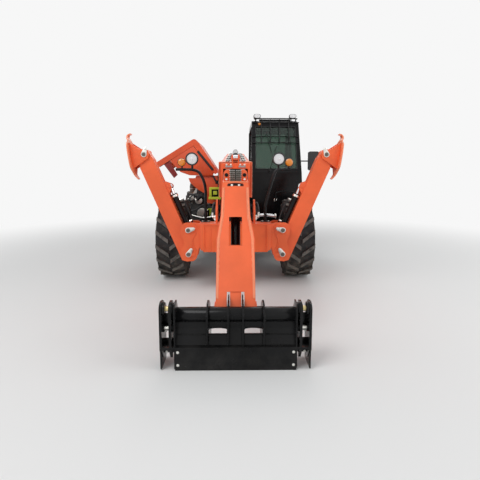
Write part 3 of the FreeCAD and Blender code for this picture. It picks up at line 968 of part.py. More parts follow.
def make_engine_bay():
    """The bay's floor and bulkhead, the engine, the radiator and the tank beneath."""
    floor = box("bay_floor", ("-pod_outer_x", "-pod_inner_x"), ("pod_front_y", "pod_rear_y"),
                ("pod_floor_z", "pod_floor_z+pod_floor_plate"))
    wall = box("bay_bulkhead", ("-pod_inner_x-bulkhead_plate", "-pod_inner_x"), ("pod_front_y", "pod_rear_y"),
               ("pod_floor_z", "hinge_z-hinge_radius-8"))
    front = box("bay_front", ("-pod_outer_x", "-pod_inner_x"), ("pod_front_y", "pod_front_y+bulkhead_plate"),
                ("pod_floor_z", "pod_floor_z+120"))
    mount = box("strut_mount", ("-strut_base_x-14", "-pod_inner_x"), ("strut_y+strut_barrel_radius+2", "strut_y+40"),
                ("strut_base_z-30", "strut_base_z+30"))
    mount_pin = rod("strut_mount_pin", "y", ("-strut_base_x", "strut_y-strut_barrel_radius", "strut_base_z"), "50", "6")
    hinge = rod("hood_hinge_pin", "y", ("-hinge_x", "pod_front_y+40", "hinge_z"), "pod_rear_y-pod_front_y-80",
                "hinge_radius-2")
    posts = [box("hinge_post", ("-hinge_x-6", "-pod_inner_x"), (y, f"{y}+40"), ("hinge_z-hinge_radius-10", "hinge_z"))
             for y in ("pod_front_y+60", "pod_rear_y-100")]
    named(fuse("engine_bay_form", floor, wall, front, mount, mount_pin, hinge, *posts), "engine_bay")

    block = box("engine_block_form", ("-engine_outer_x", "-engine_inner_x"), ("engine_front_y", "engine_rear_y"),
                ("engine_low_z", "engine_top_z"))
    cover = pad("rocker_cover", "xz", [
        ("-engine_outer_x+70", "engine_top_z"), ("-engine_outer_x+90", "engine_top_z+120"),
        ("-engine_inner_x-90", "engine_top_z+120"), ("-engine_inner_x-70", "engine_top_z")],
        ("engine_front_y+60", "engine_rear_y-60"), {"25": (1, 2)})
    pulley = rod("crank_pulley", "y", ("-(engine_inner_x+engine_outer_x)/2", "engine_front_y-60", "engine_low_z+170"),
                 "70", "95")
    fan = rod("upper_pulley", "y", ("-(engine_inner_x+engine_outer_x)/2-60", "engine_front_y-60", "engine_top_z-90"),
              "70", "60")
    alternator = rod("alternator", "y", ("-engine_outer_x-20", "engine_front_y-60", "engine_top_z-40"), "200", "75")
    feet = box("engine_feet", ("-engine_outer_x+40", "-engine_inner_x-40"), ("engine_front_y+60", "engine_rear_y-60"),
               ("pod_floor_z+pod_floor_plate", "engine_low_z"))
    cleaner = rod("air_cleaner_drum", "y", ("-engine_inner_x+20", "engine_front_y+60", "engine_top_z+150"), "420", "85")
    stay = box("air_cleaner_stay", ("-engine_inner_x+20", "-pod_inner_x-bulkhead_plate"),
               ("engine_front_y+200", "engine_front_y+260"), ("engine_top_z+130", "engine_top_z+170"))
    named(fuse("engine_form", block, cover, pulley, fan, alternator, feet, cleaner, stay), "engine")

    core = box("radiator_core", ("-pod_outer_x+60", "-pod_inner_x-bulkhead_plate"),
               ("radiator_y", "radiator_y+radiator_thickness"), ("pod_floor_z+pod_floor_plate", "hinge_z-200"))
    named(core, "radiator")
    tank = pad("tank_form", "xz", [
        ("-pod_outer_x+30", "pod_floor_z"), ("-pod_outer_x+30", "tank_low_z+60"), ("-pod_outer_x+90", "tank_low_z"),
        ("-pod_inner_x-40", "tank_low_z"), ("-pod_inner_x-40", "pod_floor_z")],
        ("pod_front_y+290", "pod_front_y+290+tank_length*0.8"), {"40": (1, 2, 3)})
    named(tank, "fuel_tank")


def make_hood():
    """The engine cover, hinged along the boom and propped open, with its gas strut."""
    sheet_t, top, side = "hood_sheet", "hood_top", "hood_side"
    section = [
        ("-20", "0"), (f"-{top}", "0"), (f"-{top}-18", f"-{side}"), (f"-{top}-18+{sheet_t}", f"-{side}"),
        (f"-{top}+{sheet_t}", f"-{sheet_t}"), ("-20", f"-{sheet_t}")]
    skin = pad("hood_skin", "xz", section, ("0", "pod_rear_y-pod_front_y"),
               {f"hood_corner-{sheet_t}": (4,), "hood_corner": (1,)})
    front_ring = pad("hood_front_band", "xz", [
        ("-20", "0"), (f"-{top}", "0"), (f"-{top}-18", f"-{side}"), (f"-{top}-18+hood_band", f"-{side}"),
        (f"-{top}+hood_band", "-hood_band"), ("-20", "-hood_band*0.6")], ("0", sheet_t), {"hood_corner": (1,)})
    rear_ring = pad("hood_rear_band", "xz", [
        ("-20", "0"), (f"-{top}", "0"), (f"-{top}-18", f"-{side}"), (f"-{top}-18+hood_band", f"-{side}"),
        (f"-{top}+hood_band", "-hood_band"), ("-20", "-hood_band*0.6")],
        (f"pod_rear_y-pod_front_y-{sheet_t}", "pod_rear_y-pod_front_y"), {"hood_corner": (1,)})
    barrels = [tube("hood_hinge", "y", ("0", y, "0"), "90", "hinge_radius", "hinge_radius-1.7")
               for y in ("120", "pod_rear_y-pod_front_y-210")]
    leaves = [box("hood_leaf", ("-40", "-hinge_radius+1"), (y, f"{y}+90"), (f"-{sheet_t}", "0"))
              for y in ("120", "pod_rear_y-pod_front_y-210")]
    lug = box("hood_strut_lug", ("-strut_reach-14", "-strut_reach+14"),
              ("strut_y-pod_front_y+10", "strut_y-pod_front_y+24"), ("-strut_drop-12", "0"))
    hood = fuse("hood_form", skin, front_ring, rear_ring, *barrels, *leaves, lug)
    named(place(hood, ("-hinge_x", "pod_front_y", "hinge_z"), Y_AXIS, "hood_open"), "engine_hood")

    eye_x = "(-hinge_x-strut_reach*cos(hood_open)-strut_drop*sin(hood_open))"
    eye_z = "(hinge_z+strut_reach*sin(hood_open)-strut_drop*cos(hood_open))"
    dx, dz = f"{eye_x}+strut_base_x", f"{eye_z}-strut_base_z"
    run = length_of(dx, dz)
    home = ("-strut_base_x", "strut_y", "strut_base_z")
    barrel = cut("strut_barrel_cut", rod("strut_barrel_bar", "z", ("0", "0", "14"), "strut_barrel_length",
                                         "strut_barrel_radius"),
                 rod("strut_barrel_bore", "z", ("0", "0", "30"), "strut_barrel_length", "strut_rod_radius+ram_fit"))
    eye = tube("strut_low_eye", "y", ("0", "-8", "0"), "16", "15", "6.5")
    named(place(fuse("strut_barrel_form", barrel, eye), home, Y_AXIS, f"atan2({dx};{dz})"), "hood_strut_barrel")
    bar = rod("strut_rod_bar", "z", ("0", "0", f"{run}-strut_rod_inside"), "strut_rod_inside-9", "strut_rod_radius")
    top_eye = rod("strut_top_eye", "y", ("0", "-8", run), "16", "12")
    named(place(fuse("strut_rod_form", bar, top_eye), home, Y_AXIS, f"atan2({dx};{dz})"), "hood_strut_rod")


def make_lamps():
    """Head lamps and signals on bent stalks, roof lamps, beacon, tail lamps and the mirror."""
    stalks = []
    for side in (1, -1):
        foot = f"{side}*stalk_foot_x"
        lamp = f"{side}*lamp_x"
        stalks.append(rod("stalk_post", "z", (foot, "lamp_y", "beam_top_z"), "lamp_z-190-beam_top_z", "stalk_radius"))
        low, high = span(side, "stalk_foot_x-stalk_radius", "signal_x+20")
        stalks.append(rod("stalk_bar", "x", (low, "lamp_y", "lamp_z-190"), f"({high})-({low})", "stalk_radius"))
        stalks.append(rod("stalk_riser", "z", (lamp, "lamp_y", "lamp_z-190"), "190-lamp_radius-0.3", "stalk_radius"))
        stalks.append(rod("stalk_signal_riser", "z", (f"{side}*signal_x", "lamp_y", "lamp_z-190"),
                          "signal_z-signal_half-lamp_z+190", "stalk_radius*0.7"))
    named(fuse("lamp_stalks_form", *stalks), "lamp_stalks")
    heads = [rod("head_lamp", "y", (f"{side}*lamp_x", "lamp_y-lamp_depth/2", "lamp_z"), "lamp_depth", "lamp_radius")
             for side in (1, -1)]
    signals = [box("signal_lamp", span(side, "signal_x-signal_half", "signal_x+signal_half"),
                   ("lamp_y-25", "lamp_y+25"), ("signal_z-signal_half", "signal_z+signal_half"))
               for side in (1, -1)]
    roof_y = "(cab_front_y+screen_lean+100)"
    roof_lamps = []
    for x in ("cab_inner_x+70", "cab_outer_x-side_lean-110"):
        roof_lamps.append(rod("roof_lamp", "y", (x, f"{roof_y}-40", "cab_roof_z+30+roof_lamp_radius"), "70",
                              "roof_lamp_radius"))
        roof_lamps.append(rod("roof_lamp_foot", "z", (x, roof_y, "cab_roof_z"), "40", "12"))
    named(fuse("lamps_form", *heads, *roof_lamps), "lamps")
    beacon = turned("beacon_form", [
        ("0", "0"), ("beacon_radius", "0"), ("beacon_radius", "beacon_height*0.3"),
        ("beacon_radius*0.8", "beacon_height*0.85"), ("beacon_radius*0.4", "beacon_height"), ("0", "beacon_height")],
        "xz", "V_Axis")
    place(beacon, ("cab_inner_x+110", "cab_rear_y-rear_lean-150", "cab_roof_z"))
    named(fuse("amber_lamps_form", *signals, beacon), "amber_lamps")
    tails = [box("tail_lamp", span(side, "weight_half_width-210", "weight_half_width-60"),
                 ("weight_rear_y-weight_corner", "weight_rear_y-weight_corner+30"), ("weight_top_z", "weight_top_z+70"))
             for side in (1, -1)]
    named(fuse("tail_lamps_form", *tails), "tail_lamps")
    mirror_y, mirror_z = "(cab_front_y+20)", "(cab_sill_z+560)"
    glass_x = "(cab_outer_x+mirror_out)"
    body = pad("mirror_body", "xz", [
        (f"{glass_x}-mirror_width/2", f"{mirror_z}-mirror_height/2"),
        (f"{glass_x}+mirror_width/2", f"{mirror_z}-mirror_height/2"),
        (f"{glass_x}+mirror_width/2", f"{mirror_z}+mirror_height/2"),
        (f"{glass_x}-mirror_width/2", f"{mirror_z}+mirror_height/2")], (mirror_y, f"{mirror_y}+45"),
        {"35": (0, 1, 2, 3)})
    arm = rod("mirror_arm", "x", ("cab_outer_x-side_lean*0.6", f"{mirror_y}+60", mirror_z),
              "mirror_out+side_lean*0.6", "11")
    stud = rod("mirror_stud", "y", (glass_x, f"{mirror_y}+40", mirror_z), "22", "14")
    named(cut("mirror_form", fuse("mirror_all", body, arm, stud), cab_form("mirror_cab", "0")), "door_mirror")


def check(things, label=lambda thing: thing.Name):
    """Stops with a list of the objects that didn't build."""
    doc.recompute()
    failed = [label(t) for t in things if {"Invalid", "Error"} & set(t.State)]
    if failed:
        sys.exit("objects that failed: " + ", ".join(failed))


def main():
    fill_sheet()
    for make in (make_wheels, make_axles, make_frame, make_counterweight, make_front_beam, make_legs,
                 make_outer_boom, make_mid_boom, make_inner_boom, make_head, make_boom_rams, make_coupler,
                 make_cab, make_engine_bay, make_hood, make_lamps):
        make()
        check(doc.Objects)
    for piece in PARTS:
        if piece.Shape.isNull() or not piece.Shape.isValid() or not piece.Shape.Solids:
            sys.exit("sub-part without a valid solid: " + piece.Label)
    os.makedirs("parts", exist_ok=True)
    for piece in PARTS:
        piece.Shape.exportStep(f"parts/{piece.Label}.step")
    print(len(PARTS), "sub-parts written")


main()
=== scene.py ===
"""The looks of a telescopic handler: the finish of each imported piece, its fine detail and the studio."""

import json
import logging
import math
from dataclasses import dataclass
from enum import Enum
from typing import Callable, Iterable, Sequence

import bmesh
import bpy
from mathutils import Matrix, Vector, noise


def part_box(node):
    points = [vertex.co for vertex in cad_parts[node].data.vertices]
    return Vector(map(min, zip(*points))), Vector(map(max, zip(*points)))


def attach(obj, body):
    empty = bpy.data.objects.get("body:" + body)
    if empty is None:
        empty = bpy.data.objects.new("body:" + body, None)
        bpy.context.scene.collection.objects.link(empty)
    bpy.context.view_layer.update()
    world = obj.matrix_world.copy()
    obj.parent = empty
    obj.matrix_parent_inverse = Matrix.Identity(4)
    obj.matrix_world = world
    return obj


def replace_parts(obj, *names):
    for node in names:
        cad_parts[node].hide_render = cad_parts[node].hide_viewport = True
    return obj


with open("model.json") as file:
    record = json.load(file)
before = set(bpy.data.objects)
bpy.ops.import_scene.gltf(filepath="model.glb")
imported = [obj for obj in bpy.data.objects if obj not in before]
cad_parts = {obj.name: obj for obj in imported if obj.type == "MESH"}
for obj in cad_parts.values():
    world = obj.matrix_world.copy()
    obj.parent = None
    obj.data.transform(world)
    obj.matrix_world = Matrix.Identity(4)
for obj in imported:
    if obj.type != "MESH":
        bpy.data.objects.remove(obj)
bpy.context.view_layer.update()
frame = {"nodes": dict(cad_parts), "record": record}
LOG = logging.getLogger("handler")

Colour = tuple[float, float, float]
Point = tuple[float, float, float]


class Bench:
    """A node tree with short ways to add nodes and join their sockets."""

    def __init__(self, tree: bpy.types.NodeTree) -> None:
        """Keeps the tree.

        Args:
            tree: The node tree of a material or of a shader group.
        """
        self.tree = tree

    def put(self, socket: bpy.types.NodeSocket, value: object) -> None:
        """Links a socket to another, or sets its default value.

        Args:
            socket: The input to feed.
            value: An output socket, a number or a tuple.
        """
        if isinstance(value, bpy.types.NodeSocket):
            self.tree.links.new(value, socket)
        else:
            socket.default_value = value

    def node(self, kind: str, settings: dict | None = None, **inputs: object) -> bpy.types.Node:
        """Adds a node.

        Args:
            kind: The node's type without its ShaderNode start.
            settings: The node's own properties.
            inputs: Values or sockets by input name, with underscores for spaces.

        Returns:
            The new node.
        """
        made = self.tree.nodes.new("ShaderNode" + kind)
        for name, value in (settings or {}).items():
            setattr(made, name, value)
        for name, value in inputs.items():
            self.put(made.inputs[name.replace("_", " ")], value)
        return made

    def math(self, operation: str, first: object, second: object = 0.5) -> bpy.types.NodeSocket:
        """Adds a clamped math node.

        Args:
            operation: Blender's name of the operation.
            first: A number or socket.
            second: A number or socket.

        Returns:
            The result's socket.
        """
        made = self.tree.nodes.new("ShaderNodeMath")
        made.operation = operation
        made.use_clamp = operation not in ("MODULO", "SUBTRACT", "FRACT", "FLOOR")
        self.put(made.inputs[0], first)
        self.put(made.inputs[1], second)
        return made.outputs[0]

    def span(self, value: object, low: float, high: float) -> bpy.types.NodeSocket:
        """Maps a value between two limits onto 0 to 1, smoothly.

        Args:
            value: The socket to map.
            low: The value that gives 0.
            high: The value that gives 1.

        Returns:
            The mapped socket.
        """
        made = self.node("MapRange", {"interpolation_type": "SMOOTHSTEP"}, Value=value, From_Min=low, From_Max=high)
        return made.outputs["Result"]

    def noise(self, scale: float, detail: float = 4.0, rough: float = 0.6, at: object = None) -> bpy.types.NodeSocket:
        """Adds a noise texture over the object's own space.

        Args:
            scale: Features in a metre.
            detail: Octaves.
            rough: Weight of the finer octaves.
            at: The coordinate's socket, or None for object space.

        Returns:
            The noise value's socket.
        """
        where = at or self.place()
        made = self.node("TexNoise", None, Vector=where, Scale=scale, Detail=detail, Roughness=rough)
        return made.outputs["Fac"]

    def place(self) -> bpy.types.NodeSocket:
        """The coordinates in the object's own space, in metres."""
        return self.node("TexCoord").outputs["Object"]

    def blend(self, share: object, first: object, second: object) -> bpy.types.NodeSocket:
        """Mixes two colours.

        Args:
            share: The second colour's share.
            first: A colour or socket.
            second: A colour or socket.

        Returns:
            The mixed colour's socket.
        """
        made = self.node("Mix", {"data_type": "RGBA"})
        self.put(made.inputs["Factor"], share)
        self.put(made.inputs["A"], opaque(first))
        self.put(made.inputs["B"], opaque(second))
        return made.outputs["Result"]


def opaque(colour: object) -> object:
    """A colour with its fourth value, or the socket as it is."""
    return (*colour, 1.0) if isinstance(colour, tuple) and len(colour) == 3 else colour


class Effects:
    """The shader groups that several finishes share, each built once."""

    made: dict[str, bpy.types.NodeTree] = {}

    @classmethod
    def group(cls, name: str, inputs: dict[str, float], outputs: dict[str, str],
              fill: Callable[[Bench, dict, dict], None]) -> bpy.types.NodeTree:
        """Builds a group, or finds the one built before.

        Args:
            name: The group's name.
            inputs: Float inputs by name, with their defaults.
            outputs: Socket types by name.
            fill: Makes the group's nodes from its input and output sockets.

        Returns:
            The group's tree.
        """
        if name not in cls.made:
            tree = bpy.data.node_groups.new(name, "ShaderNodeTree")
            for label, default in inputs.items():
                socket = tree.interface.new_socket(label, in_out="INPUT", socket_type="NodeSocketFloat")
                socket.default_value = default
            for label, kind in outputs.items():
                tree.interface.new_socket(label, in_out="OUTPUT", socket_type=kind)
            entry = tree.nodes.new("NodeGroupInput")
            leave = tree.nodes.new("NodeGroupOutput")
            fill(Bench(tree), entry.outputs, leave.inputs)
            cls.made[name] = tree
        return cls.made[name]

    @staticmethod
    def use(bench: Bench, tree: bpy.types.NodeTree, **values: object) -> bpy.types.Node:
        """Places a group in a material.

        Args:
            bench: The material's bench.
            tree: The group.
            values: Inputs by name, with underscores for spaces.

        Returns:
            The group's node.
        """
        made = bench.node("Group", {"node_tree": tree})
        for name, value in values.items():
            bench.put(made.inputs[name.replace("_", " ")], value)
        return made

    @classmethod
    def edge_wear(cls) -> bpy.types.NodeTree:
        """Bare, rubbed edges: a mask where the surface turns sharply, broken up by noise."""
        def fill(bench: Bench, entry: dict, leave: dict) -> None:
            """Compares the rounded normal with the true one."""
            rounded = bench.node("Bevel", {"samples": 4}, Radius=entry["Width"])
            true = bench.node("NewGeometry").outputs["Normal"]
            turn = bench.node("VectorMath", {"operation": "DOT_PRODUCT"})
            bench.put(turn.inputs[0], rounded.outputs["Normal"])
            bench.put(turn.inputs[1], true)
            edge = bench.span(turn.outputs["Value"], 0.985, 0.86)
            broken = bench.span(bench.noise(26.0, 6.0, 0.75), 0.42, 0.62)
            bench.put(leave["Mask"], bench.math("MULTIPLY", bench.math("MULTIPLY", edge, broken), entry["Amount"]))
        return cls.group("edge_wear", {"Width": 0.004, "Amount": 0.5}, {"Mask": "NodeSocketFloat"}, fill)

    @classmethod
    def floor_dust(cls) -> bpy.types.NodeTree:
        """Dust that thickens towards the floor and lies on what faces up."""
        def fill(bench: Bench, entry: dict, leave: dict) -> None:
            """Adds the low band and the settled layer, both mottled."""
            spot = bench.node("SeparateXYZ", None, Vector=bench.place())
            low = bench.node("MapRange", {"interpolation_type": "SMOOTHSTEP"}, Value=spot.outputs["Z"],
                             From_Min=entry["Height"], From_Max=0.0).outputs["Result"]
            facing = bench.node("SeparateXYZ", None, Vector=bench.node("NewGeometry").outputs["Normal"])
            settled = bench.math("MULTIPLY", bench.span(facing.outputs["Z"], 0.6, 1.0), 0.45)
            mottled = bench.span(bench.noise(7.0, 8.0, 0.68), 0.34, 0.68)
            both = bench.math("ADD", bench.math("MULTIPLY", low, 0.8), settled)
            bench.put(leave["Mask"], bench.math("MULTIPLY", bench.math("MULTIPLY", both, mottled), entry["Amount"]))
        return cls.group("floor_dust", {"Height": 0.9, "Amount": 0.6}, {"Mask": "NodeSocketFloat"}, fill)

    @classmethod
    def paint_skin(cls) -> bpy.types.NodeTree:
        """The faint ripple of sprayed paint over rounded edges, as a normal, with its gloss variation."""
        def fill(bench: Bench, entry: dict, leave: dict) -> None:
            """Rounds the edges, then adds the ripple."""
            rounded = bench.node("Bevel", {"samples": 4}, Radius=entry["Edge"])
            ripple = bench.noise(240.0, 3.0, 0.5)
            swell = bench.noise(9.0, 3.0, 0.5)
            height = bench.math("ADD", bench.math("MULTIPLY", ripple, 0.25), bench.math("MULTIPLY", swell, 0.75))
            bump = bench.node("Bump", None, Strength=entry["Ripple"], Distance=0.0015, Height=height,
                              Normal=rounded.outputs["Normal"])
            bench.put(leave["Normal"], bump.outputs["Normal"])
            bench.put(leave["Gloss"], bench.span(bench.noise(3.2, 6.0, 0.65), 0.3, 0.75))
        return cls.group("paint_skin", {"Edge": 0.004, "Ripple": 0.2},
                         {"Normal": "NodeSocketVector", "Gloss": "NodeSocketFloat"}, fill)

    @classmethod
    def scuffs(cls) -> bpy.types.NodeTree:
        """Thin, long scratches in a few directions, as a mask."""
        def fill(bench: Bench, entry: dict, leave: dict) -> None:
            """Stretches noise along one way and keeps its crests."""
            turned = bench.node("Mapping", None, Vector=bench.place(), Rotation=(0.5, 0.9, 0.3), Scale=(1.0, 26.0, 1.0))
            lines = bench.noise(9.0, 2.0, 0.4, turned.outputs["Vector"])
            crest = bench.span(lines, 0.66, 0.70)
            patch = bench.span(bench.noise(2.6, 3.0), 0.5, 0.62)
            bench.put(leave["Mask"], bench.math("MULTIPLY", bench.math("MULTIPLY", crest, patch), entry["Amount"]))
        return cls.group("scuffs", {"Amount": 0.5}, {"Mask": "NodeSocketFloat"}, fill)


class Slot(Enum):
    """The record's material slots."""

    ORANGE = "orange_paint"
    BLACK = "black_paint"
    FRAME = "dark_frame"
    TYRE = "tyre"
    RIM = "rim_paint"
    CHROME = "chrome"
    GLASS = "glass"
    LAMP = "lamp_glass"
    AMBER = "amber"
    RED = "red_lens"
    CLOTH = "seat_fabric"
    PLASTIC = "black_plastic"
    PAD = "pad_plastic"
    ENGINE = "engine_metal"
    HOOD = "hood_paint"
    WEIGHT = "cast_weight"


@dataclass(frozen=True)
class Finish:
    """A finish: a material that is built once and kept."""

    name: str
    colour: Colour

    def material(self) -> bpy.types.Material:
        """The finish's material, built at its first use."""
        found = bpy.data.materials.get(self.name)
        if found and found.get("dressed"):
            return found
        made = bpy.data.materials.new(self.name)
        made.use_nodes = True
        made["dressed"] = True
        made.node_tree.nodes.clear()
        bench = Bench(made.node_tree)
        shader = bench.node("BsdfPrincipled")
        leave = bench.node("OutputMaterial")
        bench.put(leave.inputs["Surface"], shader.outputs["BSDF"])
        self.dress(bench, shader)
        return made

    def dress(self, bench: Bench, shader: bpy.types.Node) -> None:
        """Feeds the shader's sockets.

        Args:
            bench: The material's bench.
            shader: The Principled BSDF node.
        """
        bench.put(shader.inputs["Base Color"], opaque(self.colour))


@dataclass(frozen=True)
class Paint(Finish):
    """Sprayed enamel with rounded edges, rubbed corners and dust."""

    roughness: float = 0.42
    coat: float = 0.25
    ripple: float = 0.22
    wear: float = 0.35
    under: Colour = (0.16, 0.12, 0.10)
    dust: float = 0.5
    dust_height: float = 0.8
    fade: float = 0.12
    edge: float = 0.004
    specular: float = 0.4

    def dress(self, bench: Bench, shader: bpy.types.Node) -> None:
        """Layers fade, wear and dust over the paint's colour."""
        pale = tuple(min(1.0, c * (1.0 + self.fade) + self.fade * 0.03) for c in self.colour)
        deep = tuple(c * (1.0 - self.fade) for c in self.colour)
        base = bench.blend(bench.span(bench.noise(1.7, 5.0), 0.35, 0.65), deep, pale)
        skin = Effects.use(bench, Effects.paint_skin(), Edge=self.edge, Ripple=self.ripple)
        rubbed = Effects.use(bench, Effects.edge_wear(), Width=self.edge * 1.2, Amount=self.wear).outputs["Mask"]
        dusty = Effects.use(bench, Effects.floor_dust(), Height=self.dust_height, Amount=self.dust).outputs["Mask"]
        # Edges take the under colour: rubbed paint, and on the black enamel partly a painted highlight.
        wear_and_highlight = bench.blend(rubbed, base, self.under)
        bench.put(shader.inputs["Base Color"], bench.blend(dusty, wear_and_highlight, (0.36, 0.33, 0.29)))
        gloss = bench.math("ADD", bench.math("MULTIPLY", skin.outputs["Gloss"], 0.16), self.roughness - 0.08)
        bench.put(shader.inputs["Roughness"], bench.math("ADD", gloss, bench.math("MULTIPLY", dusty, 0.35)))
        bench.put(shader.inputs["Normal"], skin.outputs["Normal"])
        shader.inputs["Coat Weight"].default_value = self.coat
        shader.inputs["Coat Roughness"].default_value = 0.18
        shader.inputs["Specular IOR Level"].default_value = self.specular


@dataclass(frozen=True)
class Metal(Finish):
    """Bare, plated or cast metal."""

    roughness: float = 0.3
    grain: float = 320.0
    bump: float = 0.12
    stain: float = 0.25
    stain_colour: Colour = (0.10, 0.08, 0.06)
    metallic: float = 1.0
    edge: float = 0.002

    def dress(self, bench: Bench, shader: bpy.types.Node) -> None:
        """Stains the metal and gives it its grain."""
        stained = bench.math("MULTIPLY", bench.span(bench.noise(14.0, 7.0, 0.7), 0.48, 0.72), self.stain)
        bench.put(shader.inputs["Base Color"], bench.blend(stained, self.colour, self.stain_colour))
        fine = bench.noise(self.grain, 5.0, 0.65)
        level = bench.math("ADD", bench.math("MULTIPLY", fine, 0.2), self.roughness - 0.1)
        bench.put(shader.inputs["Roughness"], bench.math("ADD", level, bench.math("MULTIPLY", stained, 0.5)))
        rounded = bench.node("Bevel", {"samples": 4}, Radius=self.edge)
        bump = bench.node("Bump", None, Strength=self.bump, Distance=0.001, Height=fine,
                          Normal=rounded.outputs["Normal"])
        bench.put(shader.inputs["Normal"], bump.outputs["Normal"])
        shader.inputs["Metallic"].default_value = self.metallic


@dataclass(frozen=True)
class Rubber(Finish):
    """Tyre rubber with dried mud on the lugs' flanks and a tread lighter at its outer radius, partly scuffed and partly
    painted highlight.
    """

    roughness: float = 0.78
    mud: Colour = (0.30, 0.25, 0.19)
    mud_amount: float = 0.4
    axle_y: float = -0.5
    axle_z: float = 0.59
    # The tread tips' lighter colour: partly scuffed rubber, partly painted highlight on the lugs.
    wear_and_highlight: Colour = (0.155, 0.148, 0.135)

    def dress(self, bench: Bench, shader: bpy.types.Node) -> None:
        """Greys the rubber in patches and dusts it."""
        greyed = bench.blend(bench.span(bench.noise(5.0, 8.0, 0.7), 0.35, 0.7), self.colour,
                             tuple(c * 2.2 + 0.012 for c in self.colour))
        caked = bench.math("MULTIPLY", bench.span(bench.noise(11.0, 9.0, 0.74), 0.50, 0.70), self.mud_amount)
        low = Effects.use(bench, Effects.floor_dust(), Height=0.75, Amount=0.55).outputs["Mask"]
        share = bench.math("MAXIMUM", bench.math("MULTIPLY", caked, 0.55), low)
        spot = bench.node("SeparateXYZ", None, Vector=bench.place()).outputs
        across = bench.math("POWER", bench.math("ABSOLUTE", bench.math("SUBTRACT", spot["Y"], self.axle_y)), 2.0)
        upright = bench.math("POWER", bench.math("ABSOLUTE", bench.math("SUBTRACT", spot["Z"], self.axle_z)), 2.0)
        reach = bench.math("SQRT", bench.math("ADD", across, upright))
        # Lighter near the tread's outer radius: partly scuffed rubber, partly painted highlight on the lug tops.
        tips = bench.math("MULTIPLY", bench.span(reach, 0.566, 0.586), bench.span(bench.noise(13.0, 6.0, 0.7), 0.30, 0.55))
        rubbed = bench.blend(tips, greyed, self.wear_and_highlight)
        bench.put(shader.inputs["Base Color"], bench.blend(share, rubbed, self.mud))
        bench.put(shader.inputs["Roughness"], bench.math("ADD", bench.math("MULTIPLY", share, 0.15), self.roughness))
        rounded = bench.node("Bevel", {"samples": 4}, Radius=0.006)
        height = bench.math("ADD", bench.math("MULTIPLY", bench.noise(90.0, 6.0, 0.7), 0.5), caked)
        bump = bench.node("Bump", None, Strength=0.35, Distance=0.003, Height=height, Normal=rounded.outputs["Normal"])
        bench.put(shader.inputs["Normal"], bump.outputs["Normal"])
        shader.inputs["Specular IOR Level"].default_value = 0.35


@dataclass(frozen=True)
class Pane(Finish):
    """Tinted safety glass with faint dust."""

    roughness: float = 0.02
    clear: float = 0.9

    def dress(self, bench: Bench, shader: bpy.types.Node) -> None:
        """Lets light through the tint and hazes it a little."""
        haze = bench.span(bench.noise(4.0, 8.0, 0.7), 0.45, 0.8)
        bench.put(shader.inputs["Base Color"], bench.blend(bench.math("MULTIPLY", haze, 0.18), self.colour,
                                                           (0.55, 0.56, 0.52)))
        bench.put(shader.inputs["Roughness"], bench.math("ADD", bench.math("MULTIPLY", haze, 0.06), self.roughness))
        shader.inputs["Transmission Weight"].default_value = self.clear
        shader.inputs["IOR"].default_value = 1.45
        shader.inputs["Metallic"].default_value = 0.0


@dataclass(frozen=True)
class Plastic(Finish):
    """Moulded plastic with a fine pebble grain."""

    roughness: float = 0.5
    grain: float = 420.0
    bump: float = 0.15
    dust: float = 0.3

    def dress(self, bench: Bench, shader: bpy.types.Node) -> None:
        """Grains the plastic and dusts it."""
        dusty = Effects.use(bench, Effects.floor_dust(), Height=1.0, Amount=self.dust).outputs["Mask"]
        varied = bench.blend(bench.span(bench.noise(6.0, 5.0), 0.3, 0.7), self.colour,
                             tuple(c * 1.25 + 0.004 for c in self.colour))
        bench.put(shader.inputs["Base Color"], bench.blend(dusty, varied, (0.33, 0.31, 0.28)))
        pebble = bench.node("TexVoronoi", None, Vector=bench.place(), Scale=self.grain).outputs["Distance"]
        rounded = bench.node("Bevel", {"samples": 4}, Radius=0.003)
        bump = bench.node("Bump", None, Strength=self.bump, Distance=0.0006, Height=pebble,
                          Normal=rounded.outputs["Normal"])
        bench.put(shader.inputs["Normal"], bump.outputs["Normal"])
        bench.put(shader.inputs["Roughness"], bench.math("ADD", bench.math("MULTIPLY", dusty, 0.3), self.roughness))


@dataclass(frozen=True)
class Lens(Finish):
    """A moulded lamp lens with its reflector's ribs showing through."""

    roughness: float = 0.12
    glow: float = 0.0
    ribs: float = 90.0

    def dress(self, bench: Bench, shader: bpy.types.Node) -> None:
        """Ribs the lens and lifts its colour a little, as a reflector does."""
        spot = bench.node("SeparateXYZ", None, Vector=bench.place())
        across = bench.math("PINGPONG", bench.math("MULTIPLY", spot.outputs["X"], self.ribs), 0.5)
        down = bench.math("PINGPONG", bench.math("MULTIPLY", spot.outputs["Z"], self.ribs), 0.5)
        cell = bench.math("MULTIPLY", bench.math("ADD", across, down), 1.0)
        shade = bench.blend(cell, tuple(c * 0.72 for c in self.colour), self.colour)
        bench.put(shader.inputs["Base Color"], shade)
        bump = bench.node("Bump", None, Strength=0.5, Distance=0.002, Height=cell)
        bench.put(shader.inputs["Normal"], bump.outputs["Normal"])
        shader.inputs["Roughness"].default_value = self.roughness
        shader.inputs["Coat Weight"].default_value = 0.6
        if self.glow:
            bench.put(shader.inputs["Emission Color"], shade)
            shader.inputs["Emission Strength"].default_value = self.glow


